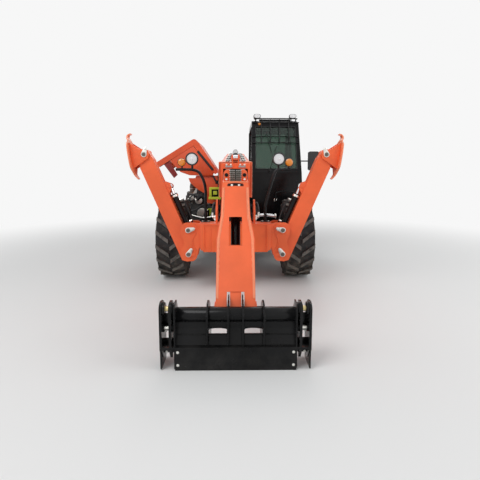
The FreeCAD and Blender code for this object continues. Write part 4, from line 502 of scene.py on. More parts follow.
@dataclass(frozen=True)
class Cloth(Finish):
    """Woven seat cloth."""

    threads: float = 900.0

    def dress(self, bench: Bench, shader: bpy.types.Node) -> None:
        """Weaves two thread directions into colour and bump."""
        spot = bench.node("SeparateXYZ", None, Vector=bench.place())
        warp = bench.math("PINGPONG", bench.math("MULTIPLY", spot.outputs["X"], self.threads * 0.35), 0.5)
        weft = bench.math("PINGPONG", bench.math("MULTIPLY", spot.outputs["Z"], self.threads * 0.35), 0.5)
        weave = bench.math("MULTIPLY", bench.math("ADD", warp, weft), 1.0)
        bench.put(shader.inputs["Base Color"], bench.blend(weave, self.colour, tuple(c * 1.9 for c in self.colour)))
        bump = bench.node("Bump", None, Strength=0.4, Distance=0.001, Height=weave)
        bench.put(shader.inputs["Normal"], bump.outputs["Normal"])
        shader.inputs["Roughness"].default_value = 0.9
        shader.inputs["Sheen Weight"].default_value = 0.3


class Finishes:
    """Every finish on the machine."""

    ORANGE = Paint("orange_enamel", (0.90, 0.142, 0.040), coat=0.12, dust=0.28, dust_height=0.5, fade=0.07, wear=0.22)
    HOOD = Paint("cover_enamel", (0.80, 0.105, 0.030), roughness=0.4, coat=0.1, fade=0.12, dust=0.25, wear=0.2)
    DEEP_RED = Paint("shaded_enamel", (0.24, 0.018, 0.016), roughness=0.45, coat=0.1, dust=0.2, wear=0.2)
    # The black enamel's lighter under colour at the edges is partly rubbed paint and partly painted highlight, standing
    # in for the glints on the carrier's edges and welds.
    BLACK = Paint("black_enamel", (0.004, 0.004, 0.0045), roughness=0.22, coat=0.05, wear=0.16, specular=0.16,
                  under=(0.10, 0.095, 0.09), dust=0.05, dust_height=0.3, fade=0.2)
    FRAME = Paint("frame_enamel", (0.006, 0.006, 0.0065), roughness=0.36, coat=0.05, wear=0.2, specular=0.18,
                  under=(0.12, 0.10, 0.09), dust=0.22, dust_height=0.9, fade=0.3)
    RIM = Paint("rim_enamel", (0.78, 0.15, 0.04), roughness=0.4, dust=0.7, dust_height=1.2)
    TYRE = Rubber("tyre_rubber", (0.014, 0.014, 0.015))
    REAR_TYRE = Rubber("rear_tyre_rubber", (0.014, 0.014, 0.015), axle_y=2.4)
    CHROME = Metal("polished_rod", (0.78, 0.78, 0.80), roughness=0.12, bump=0.03, stain=0.08)
    ZINC = Metal("zinc_plate", (0.80, 0.79, 0.74), roughness=0.32, grain=180.0, bump=0.2, stain=0.18,
                 stain_colour=(0.42, 0.40, 0.34))
    GOLD_PIN = Metal("yellow_zinc", (0.72, 0.60, 0.30), roughness=0.3, bump=0.12, stain=0.3)
    CAST = Metal("engine_casting", (0.055, 0.055, 0.055), roughness=0.55, grain=150.0, bump=0.5, metallic=0.4,
                 stain=0.5, stain_colour=(0.10, 0.06, 0.035))
    WEIGHT = Metal("weight_casting", (0.05, 0.05, 0.052), roughness=0.6, grain=60.0, bump=0.6, metallic=0.2,
                   stain=0.35, stain_colour=(0.16, 0.12, 0.09))
    GLASS = Pane("tinted_glass", (0.16, 0.25, 0.20))
    PLASTIC = Plastic("black_moulding", (0.014, 0.014, 0.015))
    PAD = Plastic("slide_pad", (0.30, 0.30, 0.28), roughness=0.6, dust=0.4)
    LAMP = Lens("lamp_lens", (0.88, 0.89, 0.90), glow=0.25)
    AMBER = Lens("amber_lens", (0.95, 0.30, 0.015), glow=0.12)
    RED = Lens("red_lens", (0.55, 0.012, 0.01), glow=0.05)
    CLOTH = Cloth("seat_cloth", (0.035, 0.036, 0.04))
    HOSE = Plastic("hose_rubber", (0.016, 0.016, 0.017), roughness=0.62, grain=650.0, bump=0.3, dust=0.5)
    SEAL = Plastic("seal_rubber", (0.010, 0.010, 0.011), roughness=0.7, grain=900.0, bump=0.1, dust=0.2)
    MIRROR = Metal("mirror_glass_face", (0.86, 0.87, 0.88), roughness=0.04, bump=0.0, stain=0.05, edge=0.001)
    BRONZE = Metal("exhaust_manifold", (0.30, 0.155, 0.075), roughness=0.5, grain=120.0, bump=0.5, stain=0.6,
                   stain_colour=(0.14, 0.06, 0.03), metallic=0.8)
    SAFETY = Plastic("caution_moulding", (0.52, 0.62, 0.04), roughness=0.45, dust=0.25)
    PLATE = Paint("blank_plate", (0.62, 0.62, 0.60), roughness=0.4, wear=0.2, dust=0.4, fade=0.05)
    # Painted highlight: a lighter orange that stands in for the light caught by rounded plate edges, welds and rims;
    # used on the head's standing edges, the collar's rims and the feet's soles.
    EDGE_HIGHLIGHT = Paint("painted_edge_highlight", (0.95, 0.27, 0.125), roughness=0.3, coat=0.2, dust=0.1, fade=0.05, wear=0.04)
    CHAIN = Metal("leaf_chain", (0.17, 0.16, 0.14), roughness=0.42, grain=140.0, bump=0.4, stain=0.4, metallic=0.6)
    SOOT = Metal("exhaust_steel", (0.16, 0.12, 0.10), roughness=0.6, grain=110.0, bump=0.4, stain=0.6, metallic=0.7)


def dress(node: str, *finishes: Finish) -> None:
    """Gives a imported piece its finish.

    Args:
        node: The piece's name.
        finishes: Its materials, the first of which covers the whole piece.
    """
    mesh = frame["nodes"][node].data
    mesh.materials.clear()
    for finish in finishes:
        mesh.materials.append(finish.material())
    for face in mesh.polygons:
        face.material_index = 0


BOOM_PIVOT = (0.0, 2.600, 1.830)
BOOM_ANGLE = math.radians(5.0)


def on_boom(x: float, along: float, up: float) -> Vector:
    """A point of the boom's own frame, in which the boom reaches forward along minus Y, as a place in the world."""
    turn = Matrix.Rotation(BOOM_ANGLE, 4, "X")
    return Vector(BOOM_PIVOT) + turn @ Vector((x, along, up))


def smooth_line(points: Sequence[Sequence[float]], steps: int = 6) -> list[Vector]:
    """Rounds a line through its points.

    Args:
        points: The points that the line goes through.
        steps: Pieces between two points.

    Returns:
        The rounded line's points.
    """
    knots = [Vector(point) for point in points]
    if len(knots) < 3:
        return knots
    ends = [knots[0] * 2 - knots[1], *knots, knots[-1] * 2 - knots[-2]]
    line = []
    for before, low, high, after in zip(ends, ends[1:], ends[2:], ends[3:]):
        for step in range(steps):
            t = step / steps
            line.append(0.5 * (2 * low + (high - before) * t + (2 * before - 5 * low + 4 * high - after) * t ** 2
                               + (3 * low - before - 3 * high + after) * t ** 3))
    return [*line, knots[-1]]


class Piece:
    """One joined mesh that is built form by form, in metres and in the machine's frame."""

    def __init__(self, name: str, body: str, slot: Slot, *finishes: Finish) -> None:
        """Starts an empty mesh.

        Args:
            name: The piece's name.
            body: The body that it rides on.
            slot: The record's slot for its finish; it is not used.
            finishes: Its materials, the first of which is the usual one.
        """
        self.name = name
        self.body = body
        self.slot = slot
        self.finishes = finishes
        self.work = bmesh.new()

    def join(self, form: bmesh.types.BMesh, finish: int = 0) -> None:
        """Adds a form to the mesh.

        Args:
            form: The form, which is freed.
            finish: The place of its material in the piece's list.
        """
        for face in form.faces:
            face.material_index = finish
            face.smooth = True
        bmesh.ops.recalc_face_normals(form, faces=form.faces)
        mesh = bpy.data.meshes.new("form")
        form.to_mesh(mesh)
        form.free()
        self.work.from_mesh(mesh)
        bpy.data.meshes.remove(mesh)

    def block(self, low: Sequence[float], high: Sequence[float], soft: float = 0.004, finish: int = 0,
              turn: Matrix | None = None, taper: float = 1.0) -> None:
        """Adds a block with rounded edges.

        Args:
            low: Its lowest corner before the turn.
            high: Its highest corner before the turn.
            soft: The radius of its edges.
            finish: The place of its material.
            turn: A turn about its middle.
            taper: The top's share of the foot's size.
        """
        form = bmesh.new()
        corners = bmesh.ops.create_cube(form, size=1.0)["verts"]
        for corner in corners:
            if corner.co.z > 0:
                corner.co.x *= taper
                corner.co.y *= taper
        size = Vector(high) - Vector(low)
        middle = (Vector(high) + Vector(low)) / 2
        move = Matrix.Translation(middle) @ (turn or Matrix.Identity(4)) @ Matrix.Diagonal((*size, 1.0))
        bmesh.ops.transform(form, matrix=move, verts=form.verts)
        bmesh.ops.bevel(form, geom=list(form.edges), offset=min(soft, min(size) * 0.3), segments=2, profile=0.6,
                        affect="EDGES")
        self.join(form, finish)

    def lathe(self, profile: Sequence[tuple[float, float]], at: Sequence[float], axis: Sequence[float],
              sides: int = 32, finish: int = 0) -> None:
        """Turns a profile about an axis.

        Args:
            profile: Pairs of the distance along the axis and the radius.
            at: The axis's start.
            axis: Its direction.
            sides: Facets round it.
            finish: The place of its material.
        """
        move = Matrix.Translation(Vector(at)) @ Vector(axis).to_track_quat("Z", "Y").to_matrix().to_4x4()
        form = bmesh.new()
        rings = []
        for along, radius in profile:
            rings.append([form.verts.new(move @ Vector((radius * math.cos(math.tau * k / sides),
                                                        radius * math.sin(math.tau * k / sides), along)))
                          for k in range(sides)])
        for here, there in zip(rings, rings[1:]):
            for k in range(sides):
                form.faces.new((here[k], here[(k + 1) % sides], there[(k + 1) % sides], there[k]))
        form.faces.new(rings[0])
        form.faces.new(rings[-1])
        self.join(form, finish)

    def pipe(self, points: Sequence[Sequence[float]], radius: float, sides: int = 12, finish: int = 0,
             steps: int = 6, swell: float = 0.0, closed: bool = False) -> None:
        """Sweeps a round section along a rounded line.

        Args:
            points: The points that the line goes through.
            radius: The section's radius.
            sides: Facets round it.
            finish: The place of its material.
            steps: Pieces between two points.
            swell: The share by which the radius rises and falls, as in a weld.
            closed: Joins the end to the start.
        """
        path = smooth_line([*points, points[0]] if closed else points, steps)
        form = bmesh.new()
        side = Vector((0.31, 0.22, 0.93))
        rings = []
        for place, point in enumerate(path):
            way = (path[min(place + 1, len(path) - 1)] - path[max(place - 1, 0)]).normalized()
            side = (side - way * side.dot(way)).normalized()
            other = way.cross(side)
            size = radius * (1.0 + swell * math.sin(place * 2.4))
            rings.append([form.verts.new(point + size * (side * math.cos(math.tau * k / sides)
                                                         + other * math.sin(math.tau * k / sides)))
                          for k in range(sides)])
        for here, there in zip(rings, rings[1:]):
            for k in range(sides):
                form.faces.new((here[k], here[(k + 1) % sides], there[(k + 1) % sides], there[k]))
        form.faces.new(rings[0])
        form.faces.new(rings[-1])
        self.join(form, finish)

    def plate(self, outline: Sequence[tuple[float, float]], thick: float, at: Matrix, soft: float = 0.003,
              finish: int = 0) -> None:
        """Adds a plate of any outline.

        Args:
            outline: Its corners in its own plane.
            thick: Its thickness, along its plane's third axis.
            at: The plane's place.
            soft: The radius of its edges.
            finish: The place of its material.
        """
        form = bmesh.new()
        low = [form.verts.new((u, v, 0.0)) for u, v in outline]
        high = [form.verts.new((u, v, thick)) for u, v in outline]
        form.faces.new(low)
        form.faces.new(high)
        for k in range(len(outline)):
            after = (k + 1) % len(outline)
            form.faces.new((low[k], low[after], high[after], high[k]))
        bmesh.ops.recalc_face_normals(form, faces=form.faces)
        bmesh.ops.bevel(form, geom=list(form.edges), offset=min(soft, thick * 0.3), segments=2, profile=0.6,
                        affect="EDGES")
        bmesh.ops.transform(form, matrix=at, verts=form.verts)
        self.join(form, finish)

    def bolt(self, at: Sequence[float], axis: Sequence[float], size: float = 0.012, finish: int = 0) -> None:
        """Adds a washer and a six-sided head.

        Args:
            at: The middle of the face that it sits on.
            axis: The way that it faces.
            size: Half its width across the corners.
            finish: The place of its material.
        """
        way = Vector(axis).normalized()
        foot = Vector(at)
        self.lathe([(0.0, size * 1.35), (size * 0.2, size * 1.35), (size * 0.22, size)], foot, way, 20, finish)
        self.lathe([(0.0, size * 0.98), (size * 0.62, size), (size * 0.78, size * 0.82)], foot + way * size * 0.2, way,
                   6, finish)

    def done(self, sharp: float = 32.0) -> bpy.types.Object:
        """Turns the mesh into an object that rides on its body.

        Args:
            sharp: The angle in degrees above which an edge stays sharp.

        Returns:
            The object.
        """
        mesh = bpy.data.meshes.new(self.name)
        self.work.to_mesh(mesh)
        self.work.free()
        mesh.set_sharp_from_angle(angle=math.radians(sharp))
        for finish in self.finishes:
            mesh.materials.append(finish.material())
        made = bpy.data.objects.new(self.name, mesh)
        bpy.context.scene.collection.objects.link(made)
        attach(made, self.body)
        LOG.info("%s: %d faces", self.name, len(mesh.polygons))
        return made


@dataclass
class BoomHead:
    """The cranked head: its true taper, standing edges, slit, bolts and chain bracket."""

    body: str = "inner_boom"
    levels: tuple[tuple[float, float, float], ...] = (
        (0.104, 0.150, 0.132), (-0.215, 0.195, 0.138), (-0.400, 0.223, 0.171), (-0.470, 0.233, 0.171),
        (-1.025, 0.190, 0.167))
    fixed_half: float = 0.080
    front_top: tuple[float, float] = (-4.942, 0.084)
    front_foot: tuple[float, float] = (-5.806, -0.905)
    edge_width: float = 0.021
    edge_stand: float = 0.015
    anchor_along: float = -4.835
    window_half: float = 0.075
    window_reach: tuple[float, float] = (-0.62, -0.27)
    window_rise: float = 0.105

    def widths(self, up: float) -> tuple[float, float]:
        """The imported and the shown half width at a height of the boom's frame."""
        for (high, a, b), (low, c, d) in zip(self.levels, self.levels[1:]):
            if up >= low:
                share = min(1.0, max(0.0, (high - up) / (high - low)))
                return a + (c - a) * share, b + (d - b) * share
        return self.levels[-1][1:]

    def front(self, up: float) -> float:
        """The front face's place along the boom at a height."""
        (a, high), (b, low) = self.front_top, self.front_foot
        return a + (b - a) * (high - up) / (high - low)

    def form(self) -> None:
        """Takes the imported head's mesh, with its side plates drawn in to the taper that the photograph shows."""
        node = frame["nodes"]["boom_head"]
        into = Matrix.Rotation(-BOOM_ANGLE, 4, "X") @ Matrix.Translation(-Vector(BOOM_PIVOT))
        head = Piece("boom_head_plates", self.body, Slot.ORANGE, Finishes.ORANGE)
        head.work.from_mesh(node.data)
        bmesh.ops.transform(head.work, matrix=into, verts=head.work.verts)
        for height in (self.levels[1][0], self.levels[2][0]):
            parts = [*head.work.verts, *head.work.edges, *head.work.faces]
            bmesh.ops.bisect_plane(head.work, geom=parts, plane_co=(0, 0, height), plane_no=(0, 0, 1))
        for spot in head.work.verts:
            packed, shown = self.widths(spot.co.z)
            reach = min(1.0, max(0.0, (abs(spot.co.x) - self.fixed_half) / (packed - 0.03 - self.fixed_half)))
            spot.co.x -= math.copysign((packed - shown) * reach, spot.co.x)
        self.raise_window(head.work)
        bmesh.ops.transform(head.work, matrix=into.inverted(), verts=head.work.verts)
        for face in head.work.faces:
            face.material_index = 0
            face.smooth = True
        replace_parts(head.done(), "boom_head")

    def raise_window(self, head: bmesh.types.BMesh) -> None:
        """Moves the front plate's window up to where the photograph shows it.

        Args:
            head: The head's mesh in the boom's frame.
        """
        slope = (self.front_top[0] - self.front_foot[0]) / (self.front_top[1] - self.front_foot[1])
        for spot in head.verts:
            depth = spot.co.y - self.front(spot.co.z)
            if abs(spot.co.x) < self.window_half and self.window_reach[0] < spot.co.z < self.window_reach[1] \
                    and abs(depth) < 0.05:
                spot.co.z += self.window_rise
                spot.co.y += self.window_rise * slope

    def edges(self) -> None:
        """Adds the side plates' standing edges, the slit's lip and the bolts of the front plate."""
        # The standing edges, their weld beads and the strip along the top are in the painted-highlight orange.
        trim = Piece("boom_head_edges", self.body, Slot.ORANGE, Finishes.EDGE_HIGHLIGHT, Finishes.ZINC, Finishes.BLACK,
                     Finishes.ORANGE)
        heights = [0.035, -0.08, -0.215, -0.32, -0.40, -0.56, -0.70, -0.825]
        for side in (1, -1):
            form = bmesh.new()
            rows = []
            for up in heights:
                outer = self.widths(up)[1] * side
                inner = outer - self.edge_width * side
                along = self.front(up)
                rows.append([form.verts.new(on_boom(x, y, up)) for x, y in (
                    (outer, along + 0.012), (outer, along - self.edge_stand * 0.75), (outer - 0.003 * side, along
                     - self.edge_stand), (inner + 0.003 * side, along - self.edge_stand),
                    (inner, along - self.edge_stand * 0.75), (inner, along + 0.012))])
            for here, there in zip(rows, rows[1:]):
                for k in range(5):
                    form.faces.new((here[k], here[k + 1], there[k + 1], there[k]))
            form.faces.new(rows[0])
            form.faces.new(rows[-1])
            trim.join(form)
            weld = [on_boom(self.widths(up)[1] * side - (self.edge_width + 0.003) * side, self.front(up) - 0.002, up)
                    for up in heights]
            trim.pipe(weld, 0.004, 6, 0, 8, 0.25)
        way = (on_boom(0, self.front(-0.5) - 1.0, -0.5 + 0.883) - on_boom(0, self.front(-0.5), -0.5)).normalized()
        for x in (0.036, -0.036):
            trim.bolt(on_boom(x, self.front(0.055) - 0.003, 0.055), way, 0.009, 1)
        form = bmesh.new()
        rows = [[form.verts.new(on_boom(x, self.front(up) + back, up)) for x, back in (
            (-0.048, 0.014), (-0.048, -0.001), (0.048, -0.001), (0.048, 0.014))] for up in (-0.775, -0.84, -0.903)]
        for here, there in zip(rows, rows[1:]):
            for k in range(4):
                form.faces.new((here[k], here[(k + 1) % 4], there[(k + 1) % 4], there[k]))
        form.faces.new(rows[0])
        form.faces.new(rows[-1])
        trim.join(form, 3)
        for rise, reach in ((0.046, 0.082), (0.055, 0.084), (0.064, 0.078)):
            trim.pipe([on_boom(-reach, self.front(rise) + 0.004, rise), on_boom(0.0, self.front(rise + 0.006) + 0.002,
                      rise + 0.006), on_boom(reach, self.front(rise) + 0.004, rise)], 0.0065, 8, 2, 6)
        # A strip along the front plate's top edge, in the painted-highlight orange.
        trim.pipe([on_boom(-0.128, self.front(0.082) + 0.004, 0.084), on_boom(0.128, self.front(0.082) + 0.004, 0.084)],
                  0.008, 10, 0)
        trim.done()

    def anchor(self) -> None:
        """Adds the bracket on the neck with its two rows of chain links."""
        base, rise, y = 0.080, 0.125, self.anchor_along
        bracket = Piece("chain_anchor", self.body, Slot.ORANGE, Finishes.ORANGE, Finishes.BLACK, Finishes.ZINC,
                        Finishes.CHAIN)
        front = Matrix.Translation(on_boom(0, y, 0)) @ Matrix.Rotation(math.pi / 2 + BOOM_ANGLE, 4, "X")
        for side in (1, -1):
            outline = [(0.062 * side, base), (0.124 * side, base), (0.124 * side, base + rise * 0.75),
                       (0.112 * side, base + rise * 0.92), (0.092 * side, base + rise), (0.062 * side, base + rise)]
            bracket.plate(outline, 0.014, front, 0.003, 0)
            bracket.block(on_boom(0.062 * side - 0.006, y - 0.016, base), on_boom(0.062 * side + 0.006, y + 0.03,
                          base + rise * 0.9), 0.003, 0)
            bracket.lathe([(0.0, 0.020), (0.002, 0.020), (0.003, 0.015)], on_boom(0.095 * side, y - 0.014, base
                          + rise * 0.55), (0, -1, 0), 24, 1)
            bracket.bolt(on_boom(0.095 * side, y - 0.0155, base + rise * 0.18), (0, -1, 0), 0.009, 2)
            for row in range(6):
                low = base + 0.004 + row * 0.020
                for link in range(5):
                    x = (0.0035 + link * 0.0112) * side
                    bracket.block(on_boom(min(x, x + 0.0075 * side), y - 0.030 + 0.006 * (link % 2), low),
                                  on_boom(max(x, x + 0.0085 * side), y + 0.004, low + 0.0175), 0.003, 3)
                bracket.lathe([(0.0, 0.005), (0.054, 0.005)], on_boom(0.0075 if side > 0 else -0.0615, y - 0.014,
                              low + 0.009), (1, 0, 0), 8, 2)
        bracket.block(on_boom(-0.056, y + 0.005, base), on_boom(0.056, y + 0.009, base + rise), 0.001, 1)
        bracket.block(on_boom(-0.126, y - 0.004, base - 0.004), on_boom(0.126, y + 0.05, base + 0.010), 0.003, 0)
        bracket.done()

    def build(self) -> None:
        """Builds the head's pieces."""
        self.form()
        self.edges()
        self.anchor()


@dataclass
class BoomMouth:
    """What sits at the mouth of the boom: collar edges, slide pads and hoses."""

    body: str = "outer_boom"
    middle: str = "middle_boom"
    mouth: float = -3.905
    half: float = 0.214

    def collar(self) -> None:
        """Adds the outer collar's folded edges and its welds."""
        # The collar's rims and welds are in the painted-highlight orange.
        rim = Piece("outer_collar_edges", self.body, Slot.ORANGE, Finishes.EDGE_HIGHLIGHT, Finishes.ZINC)
        high, low = 0.233, -0.233
        corners = [(-self.half, low), (-self.half, high), (self.half, high), (self.half, low)]
        for (x, up), (x2, up2) in zip(corners, corners[1:]):
            rim.pipe([on_boom(x, self.mouth - 0.001, up), on_boom(x2, self.mouth - 0.001, up2)], 0.006, 8, 0)
            rim.pipe([on_boom(x * 0.985, self.mouth + 0.128, up * 0.985),
                      on_boom(x2 * 0.985, self.mouth + 0.128, up2 * 0.985)], 0.006, 6, 0, 60, 0.25)
        for side in (1, -1):
            for up in (-0.15, -0.05, 0.05, 0.15):
                rim.bolt(on_boom(self.half * side, self.mouth + 0.055, up), (side, 0, 0), 0.010, 1)
        for x in (-0.13, -0.045, 0.045, 0.13):
            rim.bolt(on_boom(x, self.mouth + 0.06, high - 0.001), (0, -0.087, 0.996), 0.010, 1)
        rim.done()

    def pads(self) -> None:
        """Adds the bolts and shims of the slide pads."""
        pads = Piece("slide_pad_bolts", self.middle, Slot.PAD, Finishes.ZINC, Finishes.PAD)
        for side in (1, -1):
            for x in (0.06, 0.115):
                pads.bolt(on_boom(x * side, -3.988, 0.205), (0, -1, -0.087), 0.009, 0)
            pads.block(on_boom(0.085 * side - 0.045, -4.000, 0.170), on_boom(0.085 * side + 0.045, -3.986, 0.192),
                       0.004, 1)
        pads.done()

    def hoses(self) -> None:
        """Adds the hose pair that runs along the boom's top, with its clips."""
        lines = Piece("boom_top_lines", self.body, Slot.PLASTIC, Finishes.HOSE, Finishes.ZINC)
        for x in (-0.125, -0.095, 0.100, 0.130):
            lines.pipe([on_boom(x, 0.10, 0.234), on_boom(x, -1.0, 0.234), on_boom(x * 1.05, -2.2, 0.234),
                        on_boom(x, -3.70, 0.234), on_boom(x, -3.80, 0.222)], 0.011, 10, 0, 8)
            for along in (-0.25, -1.05, -1.9, -2.75, -3.5):
                lines.block(on_boom(x - 0.018, along - 0.012, 0.219), on_boom(x + 0.018, along + 0.012, 0.249), 0.004, 1)
        lines.done()

    def build(self) -> None:
        """Builds the mouth's pieces."""
        self.collar()
        self.pads()
        self.hoses()


@dataclass
class LampSet:
    """Rims, lens patterns and sockets."""

    body: str = "chassis"
    lamp_x: float = 0.572
    lamp_z: float = 1.765
    lamp_y: float = -1.270
    radius: float = 0.078
    signal_x: float = 0.708
    signal_z: float = 1.720

    def heads(self) -> None:
        """Adds each head lamp's housing, bezel, reflector ribs and bulb."""
        rims = Piece("head_lamp_rims", self.body, Slot.PLASTIC, Finishes.PLASTIC, Finishes.CHROME, Finishes.LAMP)
        for side in (1, -1):
            at = (self.lamp_x * side, self.lamp_y, self.lamp_z)
            r = self.radius
            rims.lathe([(-0.004, r * 0.86), (0.008, r * 0.90), (0.014, r * 1.00), (0.006, r * 1.10), (-0.020, r * 1.10),
                        (-0.062, r * 1.04), (-0.085, r * 0.72), (-0.100, r * 0.40), (-0.104, r * 0.20)], at,
                       (0, -1, 0), 48, 0)
            rims.lathe([(0.0, r * 0.88), (0.005, r * 0.84), (0.009, r * 0.55), (0.010, r * 0.10)], at, (0, -1, 0), 48, 2)
            for step in range(9):
                x = at[0] + (step - 4) * r * 0.19
                tall = math.sqrt(max(0.0, (r * 0.82) ** 2 - (x - at[0]) ** 2))
                rims.block((x - 0.0022, self.lamp_y - 0.0125, at[2] - tall), (x + 0.0022, self.lamp_y - 0.006,
                           at[2] + tall), 0.001, 2)
            rims.lathe([(0.010, r * 0.20), (0.016, r * 0.17), (0.018, r * 0.06)], at, (0, -1, 0), 24, 1)
            rims.bolt((at[0], self.lamp_y + 0.03, at[2] - r * 1.10), (0, 0, -1), 0.009, 1)
        rims.done()

    def signals(self) -> None:
        """Adds each turn signal's round lens and black back."""
        backs = Piece("signal_lenses", self.body, Slot.AMBER, Finishes.AMBER, Finishes.PLASTIC)
        for side in (1, -1):
            at = (self.signal_x * side, -1.272, self.signal_z)
            backs.lathe([(-0.008, 0.050), (0.004, 0.050), (0.020, 0.044), (0.028, 0.028), (0.030, 0.008)], at,
                        (0, -1, 0), 36, 0)
            backs.lathe([(-0.060, 0.020), (-0.052, 0.044), (-0.008, 0.054), (0.002, 0.054), (0.003, 0.048)], at,
                        (0, -1, 0), 36, 1)
            for ring in (0.018, 0.030, 0.041):
                circle = [(at[0] + ring * math.cos(t), at[1] - 0.024 + ring * 0.18, at[2] + ring * math.sin(t))
                          for t in [k * math.tau / 12 for k in range(12)]]
                backs.pipe(circle, 0.0022, 6, 0, 3, 0.0, True)
        backs.done()

    def build(self) -> None:
        """Builds the lamps' pieces."""
        self.heads()
        self.signals()


@dataclass
class CouplerTrim:
    """The tool carrier's bosses, yellow-zinc pins, plated bolts and weld beads."""

    body: str = "coupler"
    front: float = -3.302
    pin_y: float = -3.237
    outer: float = 0.605
    ear_gap: float = 0.055

    def ears(self) -> None:
        """Adds the bosses that carry the hook pins and lock pins."""
        low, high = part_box("coupler")
        trim = Piece("coupler_bosses", self.body, Slot.BLACK, Finishes.BLACK, Finishes.GOLD_PIN, Finishes.ZINC)
        for side in (1, -1):
            for x in (self.outer - 0.020, self.outer - 0.095):
                for z, radius in ((0.489, 0.046), (0.331, 0.030)):
                    trim.lathe([(0.0, radius), (0.004, radius + 0.003), (0.022, radius + 0.003), (0.026, radius)],
                               (x * side - 0.013, self.pin_y, z), (1, 0, 0), 32, 0)
            for z, radius in ((0.489, 0.0212), (0.331, 0.016)):
                start = (self.outer - 0.094) * side
                end = (self.outer - 0.018) * side
                trim.lathe([(0.0, radius), (abs(end - start), radius)], (min(start, end), self.pin_y, z), (1, 0, 0), 28,
                           1 if z > 0.4 else 2)
            for x in (self.outer - 0.001, ):
                trim.lathe([(0.0, 0.028), (0.006, 0.028), (0.008, 0.024)], (x * side - (0.008 if side > 0 else 0.0),
                           self.pin_y, 0.489), (1, 0, 0), 28, 2)
        trim.done()

    def face(self) -> None:
        """Adds the face plate's bolts, its seam and the weld beads."""
        trim = Piece("coupler_face_trim", self.body, Slot.BLACK, Finishes.BLACK, Finishes.ZINC)
        for x in (0.462, -0.462):
            for z in (0.152, 0.045):
                trim.lathe([(-0.003, 0.0115), (0.0002, 0.0115), (0.0008, 0.0095), (0.0008, 0.002)], (x, self.front, z),
                           (0, -1, 0), 24, 1)
        trim.pipe([(-0.030, self.front + 0.0045, 0.012), (-0.029, self.front + 0.004, 0.09), (-0.031, self.front + 0.0045,
                   0.166)], 0.0035, 6, 0, 40, 0.3)
        trim.pipe([(-0.485, self.front + 0.0075, 0.171), (0.0, self.front + 0.0065, 0.1715), (0.485, self.front + 0.0075,
                   0.171)], 0.005, 6, 0, 90, 0.3)
        for x in (0.052, 0.067, 0.222, 0.237):
            for side in (1, -1):
                trim.pipe([(x * side, self.front + 0.030, 0.195), (x * side, self.front + 0.060, 0.30),
                           (x * side, self.front + 0.075, 0.372)], 0.005, 6, 0, 26, 0.3)
                ring = [(x * side, -3.170 + 0.054 * math.cos(t), 0.415 + 0.054 * math.sin(t))
                        for t in [k * math.tau / 12 for k in range(12)]]
                trim.pipe(ring, 0.005, 6, 0, 6, 0.3, True)
        trim.done()

    def build(self) -> None:
        """Builds the carrier's pieces."""
        self.ears()
        self.face()


